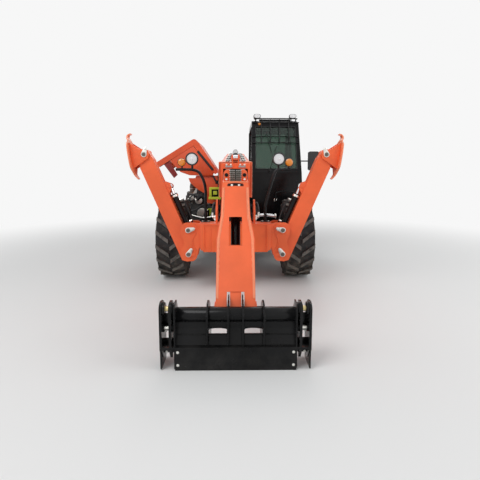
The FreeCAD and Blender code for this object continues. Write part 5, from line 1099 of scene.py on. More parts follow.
@dataclass
class CabDress:
    """The cab's seals, guard, lamps, wiper, rail and inside."""

    body: str = "chassis"
    inner: float = 0.290
    outer: float = 1.180
    front: float = 0.260
    roof: float = 2.510
    screen_foot: float = 1.600
    lean: float = 0.150

    def screen(self, z: float, out: float) -> float:
        """The windscreen's place at a height, a distance out from it."""
        return self.front + max(0.0, (z - self.screen_foot) / (self.roof - self.screen_foot)) * self.lean - out

    def guard(self) -> None:
        """Adds the leaning guard bars before the screen's top, with the grab rail and its feet."""
        bars = Piece("screen_guard", self.body, Slot.FRAME, Finishes.FRAME, Finishes.ZINC)
        for x in (0.455, 0.611, 0.768, 0.934):
            bars.pipe([(x, self.screen(2.10, 0.030), 2.10), (x, self.screen(2.30, 0.034), 2.30),
                       (x, self.screen(2.495, 0.020), 2.495)], 0.0095, 10)
        for z in (2.115, 2.225, 2.470):
            bars.pipe([(0.345, self.screen(z, 0.004), z), (0.360, self.screen(z, 0.030), z), (1.060, self.screen(z, 0.030), z),
                       (1.075, self.screen(z, 0.004), z)], 0.008, 10)
        bars.pipe([(0.700, self.front - 0.002, 1.12), (0.700, self.front - 0.040, 1.12), (0.702, self.front - 0.050, 1.22),
                   (0.760, self.front - 0.052, 1.262), (0.960, self.front - 0.052, 1.268), (1.045, self.front - 0.050, 1.225),
                   (1.050, self.front - 0.040, 1.12), (1.050, self.front - 0.002, 1.12)], 0.013, 12)
        for x in (0.70, 1.05):
            bars.lathe([(0.0, 0.028), (0.005, 0.028), (0.007, 0.022)], (x, self.front + 0.001, 1.12), (0, -1, 0), 20, 1)
        bars.done()

    def seals(self) -> None:
        """Adds the rubber seals round the panes."""
        seals = Piece("cab_seals", self.body, Slot.PLASTIC, Finishes.SEAL)
        low, high, under, upper = 0.350, 1.052, 1.662, 2.398
        loops = [
            [(low, self.screen(under, 0.003), under), (high + 0.028, self.screen(under, 0.003), under),
             (high, self.screen(upper, 0.003), upper), (low, self.screen(upper, 0.003), upper)],
            [(low, 1.650 - 0.004, under), (high, 1.650 - 0.004, under), (high, 1.590, upper), (low, 1.590, upper)],
            [(0.286, 0.372, under), (0.286, 0.470, upper), (0.286, 1.520, upper), (0.286, 1.568, under)]]
        for loop in loops:
            for start, end in zip(loop, loop[1:] + loop[:1]):
                seals.pipe([start, end], 0.008, 8)
        seals.done()

    def wiper(self) -> None:
        """Adds the wiper's motor cap, arm and blade."""
        wiper = Piece("screen_wiper", self.body, Slot.PLASTIC, Finishes.SEAL, Finishes.FRAME)
        hub = (0.60, self.screen(1.63, 0.010), 1.63)
        wiper.lathe([(-0.012, 0.030), (0.010, 0.028), (0.020, 0.018)], hub, (0, -1, 0.1), 24, 1)
        wiper.pipe([hub, (0.66, self.screen(1.85, 0.030), 1.85), (0.72, self.screen(2.06, 0.022), 2.06)], 0.006, 8, 1)
        wiper.block((0.600, self.screen(2.05, 0.022), 1.79), (0.610, self.screen(2.05, 0.002), 2.33), 0.003, 0,
                    Matrix.Rotation(0.16, 4, "X") @ Matrix.Rotation(-0.28, 4, "Y"))
        wiper.done()

    def roof_lamps(self) -> None:
        """Adds the bar with its two oval work lamps and the round amber marker."""
        bar = Piece("roof_lamp_bar", self.body, Slot.LAMP, Finishes.LAMP, Finishes.PLASTIC, Finishes.FRAME,
                    Finishes.AMBER)
        y, z = 0.430, 2.545
        bar.pipe([(0.36, y, 2.500), (0.36, y, z - 0.012), (0.385, y, z), (1.04, y, z), (1.065, y, z - 0.012),
                  (1.065, y, 2.49)], 0.010, 10, 2)
        for x in (0.385, 1.010):
            outline = [(0.056 * math.copysign(abs(math.cos(t)) ** 0.7, math.cos(t)),
                        0.033 * math.copysign(abs(math.sin(t)) ** 0.7, math.sin(t))) for t in
                       [k * math.tau / 28 + 0.05 for k in range(28)]]
            for grow, deep, near, finish in ((1.12, 0.055, y - 0.030, 1), (0.98, 0.010, y - 0.036, 0)):
                at = Matrix.Translation((x, near + deep, z + 0.040)) @ Matrix.Rotation(math.pi / 2, 4, "X")
                bar.plate([(u * grow, v * grow) for u, v in outline], deep, at, 0.004, finish)
        bar.lathe([(0.0, 0.030), (0.012, 0.030), (0.026, 0.022), (0.032, 0.008)], (0.425, self.screen(2.45, -0.006), 2.455),
                  (0, -1, 0.1), 28, 3)
        bar.done()

    def seat(self) -> None:
        """Makes the seat's cushion and back as padded covers, swollen by simulation, on their moulded shells."""
        at, y, z, half = 0.735, 1.150, 1.000, 0.232
        shells = Piece("seat_shells", self.body, Slot.PLASTIC, Finishes.PLASTIC)
        shells.block((at - half, y - 0.23, z - 0.108), (at + half, y + 0.22, z - 0.070), 0.012, 0)
        shells.block((at - half + 0.01, y + 0.215, z + 0.02), (at + half - 0.01, y + 0.245, z + 0.53), 0.010, 0,
                     Matrix.Rotation(-0.14, 4, "X"))
        for side in (1, -1):
            shells.block((at + side * 0.235 - 0.022, y - 0.10, z + 0.14), (at + side * 0.235 + 0.022, y + 0.18, z + 0.175),
                         0.014, 0)
        shells.done()
        for name, low, high, turn in (
                ("seat_cushion_pad", (at - half + 0.012, y - 0.225, z - 0.066), (at + half - 0.012, y + 0.15, z - 0.002), 0.05),
                ("seat_back_pad", (at - half + 0.020, y + 0.140, z + 0.010), (at + half - 0.020, y + 0.196, z + 0.520), -0.14)):
            pad = Piece(name, self.body, Slot.CLOTH, Finishes.CLOTH)
            pad.block(low, high, 0.016, 0, Matrix.Rotation(turn, 4, "X"))
            made = pad.done(70.0)
            self.swell(made)
            if name == "seat_cushion_pad":
                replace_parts(made, "cab_seat")

    @staticmethod
    def swell(made: bpy.types.Object) -> None:
        """Puffs a pad up with the cloth solver, with no point moving more than its limit.

        Args:
            made: The pad's object.
        """
        limit, voxel = 0.012, 0.012
        remesh = made.modifiers.new("even", "REMESH")
        remesh.mode = "VOXEL"
        remesh.voxel_size = voxel
        depsgraph = bpy.context.evaluated_depsgraph_get()
        even = bpy.data.meshes.new_from_object(made.evaluated_get(depsgraph))
        made.modifiers.clear()
        made.data = even
        start = [spot.co.copy() for spot in even.vertices]
        cloth = made.modifiers.new("air", "CLOTH")
        cloth.settings.use_pressure = True
        cloth.settings.uniform_pressure_force = 4.0
        cloth.settings.effector_weights.gravity = 0.0
        scene = bpy.context.scene
        for step in range(1, 16):
            scene.frame_set(step)
        depsgraph = bpy.context.evaluated_depsgraph_get()
        puffed = bpy.data.meshes.new_from_object(made.evaluated_get(depsgraph))
        made.modifiers.clear()
        for spot, home in zip(puffed.vertices, start):
            move = spot.co - home
            if move.length > limit:
                spot.co = home + move.normalized() * limit
        made.data = puffed
        scene.frame_set(1)
        for face in made.data.polygons:
            face.use_smooth = True
            face.material_index = 0
        if not made.data.materials:
            made.data.materials.append(Finishes.CLOTH.material())

    def inside(self) -> None:
        """Adds the steering wheel's spokes and boss, the dash and the levers."""
        inside = Piece("cab_controls", self.body, Slot.PLASTIC, Finishes.PLASTIC, Finishes.CHROME, Finishes.LAMP)
        turn = Matrix.Rotation(math.radians(-30), 4, "X")
        at = Vector((0.735, 0.580, 1.290))
        for angle in (0.5, 2.6, 4.71):
            tip = at + turn @ Vector((0.178 * math.cos(angle), 0.178 * math.sin(angle), 0.0))
            inside.pipe([at, (at + tip) / 2 + turn @ Vector((0, 0, -0.012)), tip], 0.009, 8)
        inside.lathe([(-0.02, 0.030), (0.012, 0.046), (0.024, 0.040), (0.028, 0.010)], at, turn @ Vector((0, 0, 1)), 28)
        inside.block((0.50, 0.330, 1.10), (0.97, 0.430, 1.23), 0.025, 0, Matrix.Rotation(-0.3, 4, "X"), 0.9)
        for x in (0.62, 0.735, 0.85):
            inside.lathe([(0.0, 0.032), (0.006, 0.032), (0.008, 0.026)], (x, 0.435, 1.185), (0, 0.9, 0.45), 24, 2)
        for x, lean in ((0.985, 0.02), (1.02, 0.0), (0.475, -0.02)):
            inside.pipe([(x, 0.98, 0.95), (x + lean, 0.97, 1.12), (x + lean, 0.96, 1.19)], 0.008, 8, 1)
            inside.lathe([(-0.02, 0.012), (0.0, 0.020), (0.025, 0.022), (0.036, 0.012)], (x + lean, 0.957, 1.20),
                         (0, -0.05, 1), 18)
        inside.block((0.955, 0.90, 0.80), (1.045, 1.30, 0.955), 0.02)
        inside.done()

    def doorside(self) -> None:
        """Adds the door's handle, two blocks on its back edge, and the mirror's glass and rim."""
        door = Piece("door_fittings", "cab_door", Slot.PLASTIC, Finishes.PLASTIC, Finishes.CHROME, Finishes.SEAL)
        door.block((1.178, 0.470, 1.190), (1.200, 0.600, 1.232), 0.006, 0)
        door.pipe([(1.196, 0.485, 1.20), (1.215, 0.500, 1.20), (1.215, 0.570, 1.20), (1.196, 0.585, 1.20)], 0.007, 8, 1)
        for z in (0.75, 1.10):
            door.block((1.176, 1.300, z - 0.04), (1.194, 1.372, z + 0.04), 0.004, 0)
        door.done()
        low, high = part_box("door_mirror")
        mirror = Piece("mirror_glass", self.body, Slot.CHROME, Finishes.MIRROR, Finishes.PLASTIC)
        x, z = high[0] - 0.095, (low[2] + high[2]) / 2
        outline = [(0.082, -0.150), (0.088, -0.140), (0.088, 0.140), (0.078, 0.152), (-0.078, 0.152), (-0.088, 0.140),
                   (-0.088, -0.140), (-0.078, -0.152)]
        back = Matrix.Translation((x, 0.327, z)) @ Matrix.Rotation(-math.pi / 2, 4, "X")
        mirror.plate(outline, 0.003, back, 0.001, 0)
        for (u, v), (u2, v2) in zip(outline, outline[1:] + outline[:1]):
            mirror.pipe([(x + u * 1.03, 0.329, z + v * 1.02), (x + u2 * 1.03, 0.329, z + v2 * 1.02)], 0.004, 6, 1)
        mirror.done()

    def build(self) -> None:
        """Builds the cab's pieces."""
        self.guard()
        self.seals()
        self.wiper()
        self.roof_lamps()
        self.seat()
        self.inside()
        self.doorside()


@dataclass
class Legs:
    """The stabiliser rams' collars, hose fittings and hoses, on both sides."""

    pin_x: float = 0.609
    y: float = -1.429

    def side(self, side: int, name: str) -> None:
        """Adds one side's fittings.

        Args:
            side: 1 for the machine's left and -1 for its right.
            name: The side's name in the bodies.
        """
        rod = Piece(f"leg_ram_fittings_{name}", f"leg_ram_{name}_barrel", Slot.BLACK, Finishes.ZINC, Finishes.HOSE)
        foot, way = Vector((self.pin_x * side, -1.330, 0.850)), Vector((0.395 * side, 0, 0.9186))
        rod.lathe([(0.0, 0.041), (0.004, 0.046), (0.030, 0.046), (0.034, 0.041)], foot + way * 0.455, way, 36, 0)
        for along in (0.09, 0.40):
            spot = foot + way * along + Vector((-0.038 * side, 0, 0.016))
            rod.lathe([(0.0, 0.013), (0.022, 0.013), (0.024, 0.010), (0.036, 0.010)], spot, (-side, 0, 0.42), 6, 0)
        rod.pipe([foot + way * 0.40 + Vector((-0.075 * side, 0, 0.03)), foot + way * 0.30 + Vector((-0.095 * side, 0.01, 0)),
                  foot + way * 0.12 + Vector((-0.080 * side, 0.02, 0)), foot + way * 0.06 + Vector((-0.060 * side, 0.03, 0))],
                 0.010, 10, 1, 8)
        rod.done()

    def build(self) -> None:
        """Builds both sides."""
        for side, name in ((1, "left"), (-1, "right")):
            self.side(side, name)


@dataclass
class Wheels:
    """The wheel nuts, valves and side-wall ribs."""

    track: float = 1.870
    radius: float = 0.590
    axles: tuple[tuple[str, float], ...] = (("front", -0.500), ("rear", 2.400))

    def build(self) -> None:
        """Builds one joined piece for each wheel."""
        for tag, y in self.axles:
            for side, name in ((1, "left"), (-1, "right")):
                low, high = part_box(f"rim_{tag}_{name}")
                outer = high[0] if side > 0 else low[0]
                wheel = Piece(f"wheel_fittings_{tag}_{name}", f"wheel_{tag}_{name}", Slot.RIM, Finishes.ZINC,
                              Finishes.RIM, Finishes.TYRE)
                disc = outer - 0.060 * side - 0.060 * side
                for k in range(10):
                    angle = math.tau * k / 10
                    wheel.bolt((disc, y + 0.135 * math.cos(angle), self.radius + 0.135 * math.sin(angle)), (side, 0, 0),
                               0.015, 0)
                wheel.pipe([(disc, y + 0.24, self.radius + 0.02), (disc + 0.03 * side, y + 0.245, self.radius + 0.02),
                            (disc + 0.055 * side, y + 0.25, self.radius + 0.02)], 0.005, 8, 0)
                for ring, x in ((0.345, 1.118), (0.390, 1.137), (0.430, 1.146)):
                    circle = [((x - 0.0005) * side, y + ring * math.cos(t), self.radius + ring * math.sin(t)) for t in
                              [k * math.tau / 24 for k in range(24)]]
                    wheel.pipe(circle, 0.0035, 6, 2, 3, 0.0, True)
                wheel.done()


@dataclass
class EngineDress:
    """The open engine's hoses, belt, filters, wiring and cast details."""

    body: str = "chassis"

    def build(self) -> None:
        """Builds the engine's pieces."""
        parts = Piece("engine_fittings", self.body, Slot.ENGINE, Finishes.CAST, Finishes.BRONZE, Finishes.ZINC,
                      Finishes.HOSE, Finishes.SAFETY, Finishes.PLASTIC)
        front = 0.500
        for x, z, radius in ((-0.61, 0.850, 0.098), (-0.67, 1.090, 0.064), (-0.80, 1.140, 0.046), (-0.50, 1.060, 0.040)):
            parts.lathe([(0.0, radius * 0.3), (0.004, radius), (0.012, radius), (0.016, radius * 0.88), (0.026, radius * 0.88),
                         (0.030, radius), (0.038, radius), (0.042, radius * 0.35)], (x, front + 0.02, z), (0, -1, 0), 36, 2)
        belt = [(-0.61, 0.752), (-0.705, 0.84), (-0.845, 1.12), (-0.80, 1.186), (-0.67, 1.154), (-0.50, 1.10),
                (-0.46, 1.05), (-0.515, 0.87)]
        parts.pipe([(x, front, z) for x, z in belt], 0.009, 8, 3, 6, 0.0, True)
        for y in (0.66, 0.78, 0.90, 1.02, 1.14):
            parts.lathe([(0.0, 0.020), (0.03, 0.020), (0.034, 0.012), (0.060, 0.012), (0.064, 0.007)],
                        (-0.61, y, 1.298), (0, 0, 1), 16, 2)
            parts.pipe([(-0.61, y, 1.355), (-0.66, y + 0.01, 1.375), (-0.735, y + 0.01, 1.30), (-0.79, y, 1.18),
                        (-0.815, y, 1.02)], 0.006, 8, 2)
            parts.lathe([(0.0, 0.030), (0.05, 0.026), (0.09, 0.030), (0.10, 0.034)], (-0.800, y, 1.075), (-1, 0, -0.2), 18, 1)
        parts.pipe([(-0.905, 0.62, 1.06), (-0.91, 0.85, 1.06), (-0.905, 1.10, 1.07), (-0.88, 1.20, 1.13),
                    (-0.80, 1.27, 1.24)], 0.038, 16, 1)
        parts.lathe([(0.0, 0.060), (0.02, 0.082), (0.06, 0.086), (0.09, 0.060), (0.10, 0.040)], (-0.895, 1.16, 1.06),
                    (0.2, 1, 0.4), 28, 0)
        for x, low, high in ((-0.545, 0.92, 1.05), (-0.46, 0.80, 0.95)):
            parts.lathe([(0.0, 0.036), (0.010, 0.044), (high - low - 0.02, 0.044), (high - low, 0.030)],
                        (x + 0.02, 0.535, low), (0, 0, 1), 24, 5 if x < -0.5 else 4)
        parts.lathe([(0.0, 0.060), (0.006, 0.086), (0.018, 0.088), (0.19, 0.088), (0.20, 0.092), (0.22, 0.092),
                     (0.40, 0.086), (0.425, 0.070)], (-0.40, 0.615, 1.330), (0, 1, 0), 32, 5)
        for k in range(5):
            parts.pipe([(-0.40 + 0.0885 * math.cos(t), 0.66 + 0.07 * k, 1.330 + 0.0885 * math.sin(t)) for t in
                        [n * math.tau / 14 for n in range(14)]], 0.004, 6, 5, 3, 0.0, True)
        runs = [
            ([(-0.40, 0.610, 1.33), (-0.42, 0.53, 1.34), (-0.50, 0.47, 1.30), (-0.60, 0.46, 1.20), (-0.72, 0.47, 1.10)], 0.034, 3),
            ([(-0.34, 0.45, 1.26), (-0.38, 0.40, 1.16), (-0.47, 0.38, 1.00), (-0.55, 0.41, 0.86), (-0.56, 0.50, 0.78)], 0.024, 3),
            ([(-0.33, 0.33, 1.05), (-0.45, 0.33, 0.98), (-0.58, 0.35, 1.02), (-0.70, 0.37, 0.94), (-0.84, 0.42, 0.90)], 0.014, 3),
            ([(-0.33, 0.36, 1.20), (-0.44, 0.34, 1.24), (-0.58, 0.35, 1.18), (-0.72, 0.38, 1.22), (-0.86, 0.45, 1.12)], 0.011, 3),
            ([(-0.31, 0.30, 0.90), (-0.42, 0.30, 0.82), (-0.60, 0.32, 0.80), (-0.78, 0.35, 0.84)], 0.012, 2),
            ([(-0.35, 0.352, 1.40), (-0.36, 0.345, 1.20), (-0.40, 0.345, 1.02), (-0.52, 0.35, 0.92)], 0.009, 4)]
        for points, radius, finish in runs:
            parts.pipe(points, radius, 12, finish, 8)
            for end, near in ((points[0], points[1]), (points[-1], points[-2])):
                parts.lathe([(0.0, radius * 1.12), (0.006, radius * 1.25), (0.022, radius * 1.25), (0.026, radius * 1.1)],
                            end, Vector(near) - Vector(end), 16, 2)
        for x, y, z in ((-0.70, 0.56, 1.181), (-0.45, 0.60, 1.181), (-0.70, 1.24, 1.181), (-0.45, 1.22, 1.181)):
            parts.bolt((x, y, z), (0, 0, 1), 0.012, 2)
        parts.lathe([(0.0, 0.026), (0.016, 0.032), (0.030, 0.032), (0.036, 0.020)], (-0.56, 1.15, 1.300), (0, 0, 1), 20, 4)
        parts.done()
        core = Piece("radiator_fins", self.body, Slot.ENGINE, Finishes.CAST, Finishes.PLASTIC)
        for k in range(40):
            z = 0.700 + k * 0.0165
            core.block((-0.925, 1.429, z), (-0.325, 1.441, z + 0.005), 0.001, 0)
        for x in (-0.935, -0.325):
            core.block((x - 0.006, 1.424, 0.675), (x + 0.008, 1.442, 1.378), 0.004, 1)
        for x in (-0.78, -0.47):
            for turn in range(7):
                angle = math.tau * turn / 7
                core.plate([(0.02, -0.02), (0.12, -0.045), (0.135, 0.02), (0.02, 0.02)], 0.004,
                           Matrix.Translation((x, 1.415, 1.02)) @ Matrix.Rotation(angle, 4, "Y")
                           @ Matrix.Rotation(math.pi / 2, 4, "X") @ Matrix.Rotation(0.35, 4, "X"), 0.001, 1)
            core.lathe([(0.0, 0.022), (0.02, 0.032), (0.03, 0.030), (0.034, 0.010)], (x, 1.428, 1.02), (0, -1, 0), 20, 1)
        core.done()


@dataclass
class HoodDress:
    """The open cover's edge seal, stiffeners and latch."""

    body: str = "engine_hood"
    hinge: tuple[float, float, float] = (-0.300, 0.260, 1.580)
    open_angle: float = math.radians(57.0)

    def at(self, x: float, y: float, z: float) -> Vector:
        """A place in the closed cover's own frame, as it stands when open."""
        turned = Matrix.Rotation(self.open_angle, 4, "Y") @ Vector((x, 0.0, z))
        return Vector(self.hinge) + Vector((turned.x, y, turned.z))

    def build(self) -> None:
        """Builds the cover's pieces."""
        trim = Piece("cover_trim", self.body, Slot.PLASTIC, Finishes.SEAL, Finishes.ZINC, Finishes.HOOD)
        for y in (0.010, 1.380):
            trim.pipe([self.at(-0.05, y, -0.052), self.at(-0.60, y, -0.094), self.at(-0.642, y, -0.14),
                       self.at(-0.652, y, -0.79)], 0.007, 8)
        trim.pipe([self.at(-0.745, 0.02, -0.798), self.at(-0.745, 1.37, -0.798)], 0.007, 8)
        for y in (0.35, 0.70, 1.05):
            trim.block(self.at(-0.40, y, -0.020) - Vector((0.002, 0.020, 0.002)), self.at(-0.40, y, -0.020)
                       + Vector((0.002, 0.020, 0.002)), 0.001, 2)
            trim.pipe([self.at(-0.06, y, -0.012), self.at(-0.40, y, -0.013), self.at(-0.69, y, -0.013)], 0.010, 8, 2)
        for y in (0.30, 1.10):
            trim.lathe([(0.0, 0.020), (0.006, 0.020), (0.010, 0.012)], self.at(-0.745, y, -0.74),
                       self.at(-1, 0, -0.74) - self.at(0, 0, -0.74), 20, 1)
        trim.done()


@dataclass
class ChassisDress:
    """Hoses, elbows, counterweight bolts, lamps' rims, the plate, the exhaust and the filler."""

    body: str = "chassis"

    def lines(self) -> None:
        """Adds the hydraulic lines between the frame's plates and the boom's foot."""
        lines = Piece("frame_lines", self.body, Slot.PLASTIC, Finishes.HOSE, Finishes.ZINC, Finishes.CHROME)
        for x, z, reach in ((-0.285, 0.985, 0.24), (-0.315, 1.030, 0.30), (0.285, 0.990, 0.22), (0.315, 1.035, 0.28)):
            side = math.copysign(1.0, x)
            lines.pipe([(x, -1.150, z), (x, -1.10 + 0.04, z + 0.075), (x * 0.97, -0.95, z + 0.12), (x * 0.95, -0.62, z + 0.10),
                        (x * 0.93, -0.10, z + 0.02), (x * 0.92, 0.30, z - 0.02)], 0.015, 12)
            lines.lathe([(0.0, 0.022), (0.026, 0.022), (0.030, 0.017), (0.05, 0.017)], (x, -1.155, z - 0.035), (0, 0.1, 1), 6, 1)
            lines.lathe([(0.0, 0.024), (0.010, 0.024), (0.012, 0.018), (reach * 0.2, 0.018)], (x, -1.155, z - 0.05),
                        (-side, 0, 0.2), 16, 1)
        lines.pipe([(0.29, -1.05, 0.99), (0.42, -1.06, 1.00), (0.56, -1.08, 0.985)], 0.022, 16, 2)
        for x in (0.31, 0.54):
            lines.lathe([(0.0, 0.026), (0.005, 0.031), (0.022, 0.031), (0.027, 0.026)], (x, -1.055 - (x - 0.3) * 0.08, 0.99),
                        (1, 0, 0), 18, 1)
        for k, x in enumerate((-0.11, -0.065, -0.02, 0.025, 0.07, 0.115)):
            lines.pipe([(x, 2.00, 1.02), (x * 1.1, 1.75, 1.16 + 0.01 * k), (x * 1.1, 1.30, 1.12 + 0.01 * k), (x, 0.60, 1.00),
                        (x, 0.05, 0.985), (x, -0.55, 0.97), (x, -1.02, 0.965)], 0.011, 10)
        lines.done()

    def tail(self) -> None:
        """Adds what shows behind: bolts, lamp rims, a blank plate, grille slats, exhaust and hitch."""
        tail = Piece("tail_fittings", self.body, Slot.WEIGHT, Finishes.ZINC, Finishes.PLASTIC, Finishes.WEIGHT,
                     Finishes.FRAME, Finishes.PLATE, Finishes.RED)
        y = 3.297
        for x in (-0.42, 0.42):
            for z in (0.76, 1.10):
                tail.lathe([(-0.004, 0.045), (0.0, 0.048), (0.001, 0.040)], (x, y, z), (0, 1, 0), 24, 3)
                tail.bolt((x, 3.2800, z), (0, 1, 0), 0.020, 0)
        tail.block((-0.26, 3.288, 0.985), (0.26, 3.2985, 1.105), 0.004, 4)
        for x in (-0.20, 0.20):
            tail.bolt((x, 3.2925, 1.045), (0, 1, 0), 0.006, 0)
        tail.block((-0.085, 3.17, 0.700), (0.085, 3.2985, 0.720), 0.004, 3)
        tail.block((-0.085, 3.17, 0.780), (0.085, 3.2985, 0.800), 0.004, 3)
        tail.lathe([(0.0, 0.018), (0.17, 0.018), (0.175, 0.028), (0.19, 0.028)], (0.0, 3.245, 0.668), (0, 0, 1), 20, 0)
        for side in (1, -1):
            for x in (0.435, 0.485, 0.535):
                tail.lathe([(0.0, 0.020), (0.006, 0.020), (0.010, 0.012)], (x * side, 3.2095, 1.275), (0, 1, 0), 24, 5)
            tail.pipe([(0.408 * side, 3.207, 1.244), (0.408 * side, 3.207, 1.306), (0.562 * side, 3.207, 1.306),
                       (0.562 * side, 3.207, 1.244)], 0.004, 6, 1, 1, 0.0, True)
        tail.done()
        stack = Piece("exhaust_stack", self.body, Slot.ENGINE, Finishes.SOOT, Finishes.ZINC)
        stack.lathe([(0.0, 0.030), (0.02, 0.070), (0.04, 0.075), (0.36, 0.075), (0.38, 0.060), (0.40, 0.030), (0.42, 0.030)],
                    (-0.86, 1.30, 0.98), (0, 0, 1), 28, 0)
        stack.pipe([(-0.86, 1.30, 1.37), (-0.86, 1.31, 1.40), (-0.865, 1.345, 1.420), (-0.87, 1.40, 1.425)], 0.026, 16, 0)
        for z in (1.06, 1.28):
            stack.pipe([(-0.86 + 0.078 * math.cos(t), 1.30 + 0.078 * math.sin(t), z) for t in
                        [n * math.tau / 14 for n in range(14)]], 0.006, 6, 1, 3, 0.0, True)
        stack.done()

    def sides(self) -> None:
        """Adds the filler, step tread, frame bolts and weld beads."""
        sides = Piece("side_fittings", self.body, Slot.FRAME, Finishes.FRAME, Finishes.ZINC, Finishes.PLASTIC)
        sides.lathe([(0.0, 0.048), (0.014, 0.048), (0.018, 0.058), (0.044, 0.058), (0.050, 0.045)], (-0.955, 0.75, 0.56),
                    (-1, 0, 0.25), 30, 2)
        for k in range(12):
            sides.block((1.127, 0.535 + k * 0.047, 0.303), (1.197, 0.549 + k * 0.047, 0.311), 0.002, 1)
        for side in (1, -1):
            for y in (-0.95, -0.80, 0.10, 0.25, 1.95, 2.05, 2.75, 2.90):
                sides.bolt((0.266 * side, y, 0.80), (side, 0, 0), 0.013, 1)
        for side in (1, -1):
            sides.pipe([(0.266 * side, -1.19, 0.944), (0.266 * side, 0.3, 0.944), (0.266 * side, 1.6, 0.944)], 0.005, 6, 0,
                       140, 0.25)
        sides.done()

    def build(self) -> None:
        """Builds the chassis's pieces."""
        self.lines()
        self.tail()
        self.sides()


@dataclass
class CarrierPlates:
    """The tool carrier's web with its two windows, the ears' full-length plates, bosses and rib edges."""

    body: str = "coupler"
    half: float = 0.484
    outer: float = 0.605
    pivot: tuple[float, float] = (-3.0398, 0.400)

    def web(self) -> None:
        """Adds the sloping web between the ears, with a window on each side of the middle ribs."""
        web = Piece("carrier_web", self.body, Slot.BLACK, Finishes.BLACK)
        levels = [(0.190, -3.255), (0.270, -3.222), (0.312, -3.206), (0.395, -3.196)]
        for low, high in zip(levels, levels[1:]):
            spans = [(-self.half, self.half)]
            if low[0] == levels[1][0]:
                spans = [(-self.half, -0.222), (-0.067, 0.067), (0.222, self.half)]
            for start, end in spans:
                form = bmesh.new()
                corners = [form.verts.new((x, y, z)) for z, y in (low, high) for x in (start, end)]
                back = [form.verts.new((x, y + 0.012, z)) for z, y in (low, high) for x in (start, end)]
                for a, b, c, d in ((0, 1, 3, 2),):
                    form.faces.new((corners[a], corners[b], corners[c], corners[d]))
                    form.faces.new((back[c], back[d], back[b], back[a])[::-1])
                for a, b in ((0, 1), (1, 3), (3, 2), (2, 0)):
                    form.faces.new((corners[a], corners[b], back[b], back[a]))
                web.join(form)
        for x, z, wide in ((-0.145, 0.291, 0.078), (0.145, 0.291, 0.078)):
            loop = [(x - wide, 0.270), (x - wide + 0.012, 0.312), (x + wide - 0.012, 0.312), (x + wide, 0.270)]
            web.pipe([(u, -3.226 + (v - 0.27) * 0.38, v) for u, v in loop], 0.005, 8, 0, 3, 0.0, True)
        web.pipe([(-0.47, -3.226, 0.268), (-0.30, -3.227, 0.268), (-0.24, -3.226, 0.268)], 0.0045, 6, 0, 24, 0.35)
        web.pipe([(0.24, -3.226, 0.268), (0.30, -3.227, 0.268), (0.47, -3.226, 0.268)], 0.0045, 6, 0, 24, 0.35)
        web.lathe([(0.0, 0.058), (0.004, 0.0605), (0.964, 0.0605), (0.968, 0.058)], (-self.half, -3.170, 0.415), (1, 0, 0),
                  40, 0)
        for x in (0.0545, -0.0645):
            web.lathe([(0.0, 0.128), (0.002, 0.130), (0.008, 0.130), (0.010, 0.128)], (x, *self.pivot), (1, 0, 0), 48, 0)
        web.done()

    def ears(self) -> None:
        """Adds the ears' plates down to the floor, the bays' back plates and the rounded bosses."""
        ears = Piece("carrier_ears", self.body, Slot.BLACK, Finishes.BLACK, Finishes.ZINC)
        outline = [(-3.298, 0.440), (-3.294, 0.545), (-3.182, 0.545), (-3.140, 0.480), (-3.080, 0.380), (-3.080, 0.120),
                   (-3.100, 0.006), (-3.292, 0.006), (-3.298, 0.018), (-3.298, 0.250)]
        for side in (1, -1):
            for x in (self.outer - 0.001, self.outer - 0.112):
                at = Matrix(((0, 0, 1, x * side - (0.013 if side > 0 else -0.001)), (1, 0, 0, 0), (0, 1, 0, 0), (0, 0, 0, 1)))
                ears.plate(outline, 0.012, at, 0.004, 0)
            inner, outer = (self.outer - 0.110) * side, (self.outer - 0.006) * side
            for low, high in ((0.105, 0.228), (0.292, 0.440)):
                ears.block((min(inner, outer), -3.205, low), (max(inner, outer), -3.193, high), 0.003, 0)
            for x in (self.outer - 0.030, self.outer - 0.082):
                ears.lathe([(0.0, 0.044), (0.004, 0.052), (0.020, 0.052), (0.024, 0.046)],
                           (x * side - 0.012, -3.240, 0.490), (1, 0, 0), 36, 0)
            for z in (0.300, 0.120):
                ears.bolt((outer - 0.030 * side, -3.205, z - 0.01), (0, -1, 0), 0.008, 1)
        ears.done()

    def build(self) -> None:
        """Builds the plates."""
        self.web()
        self.ears()


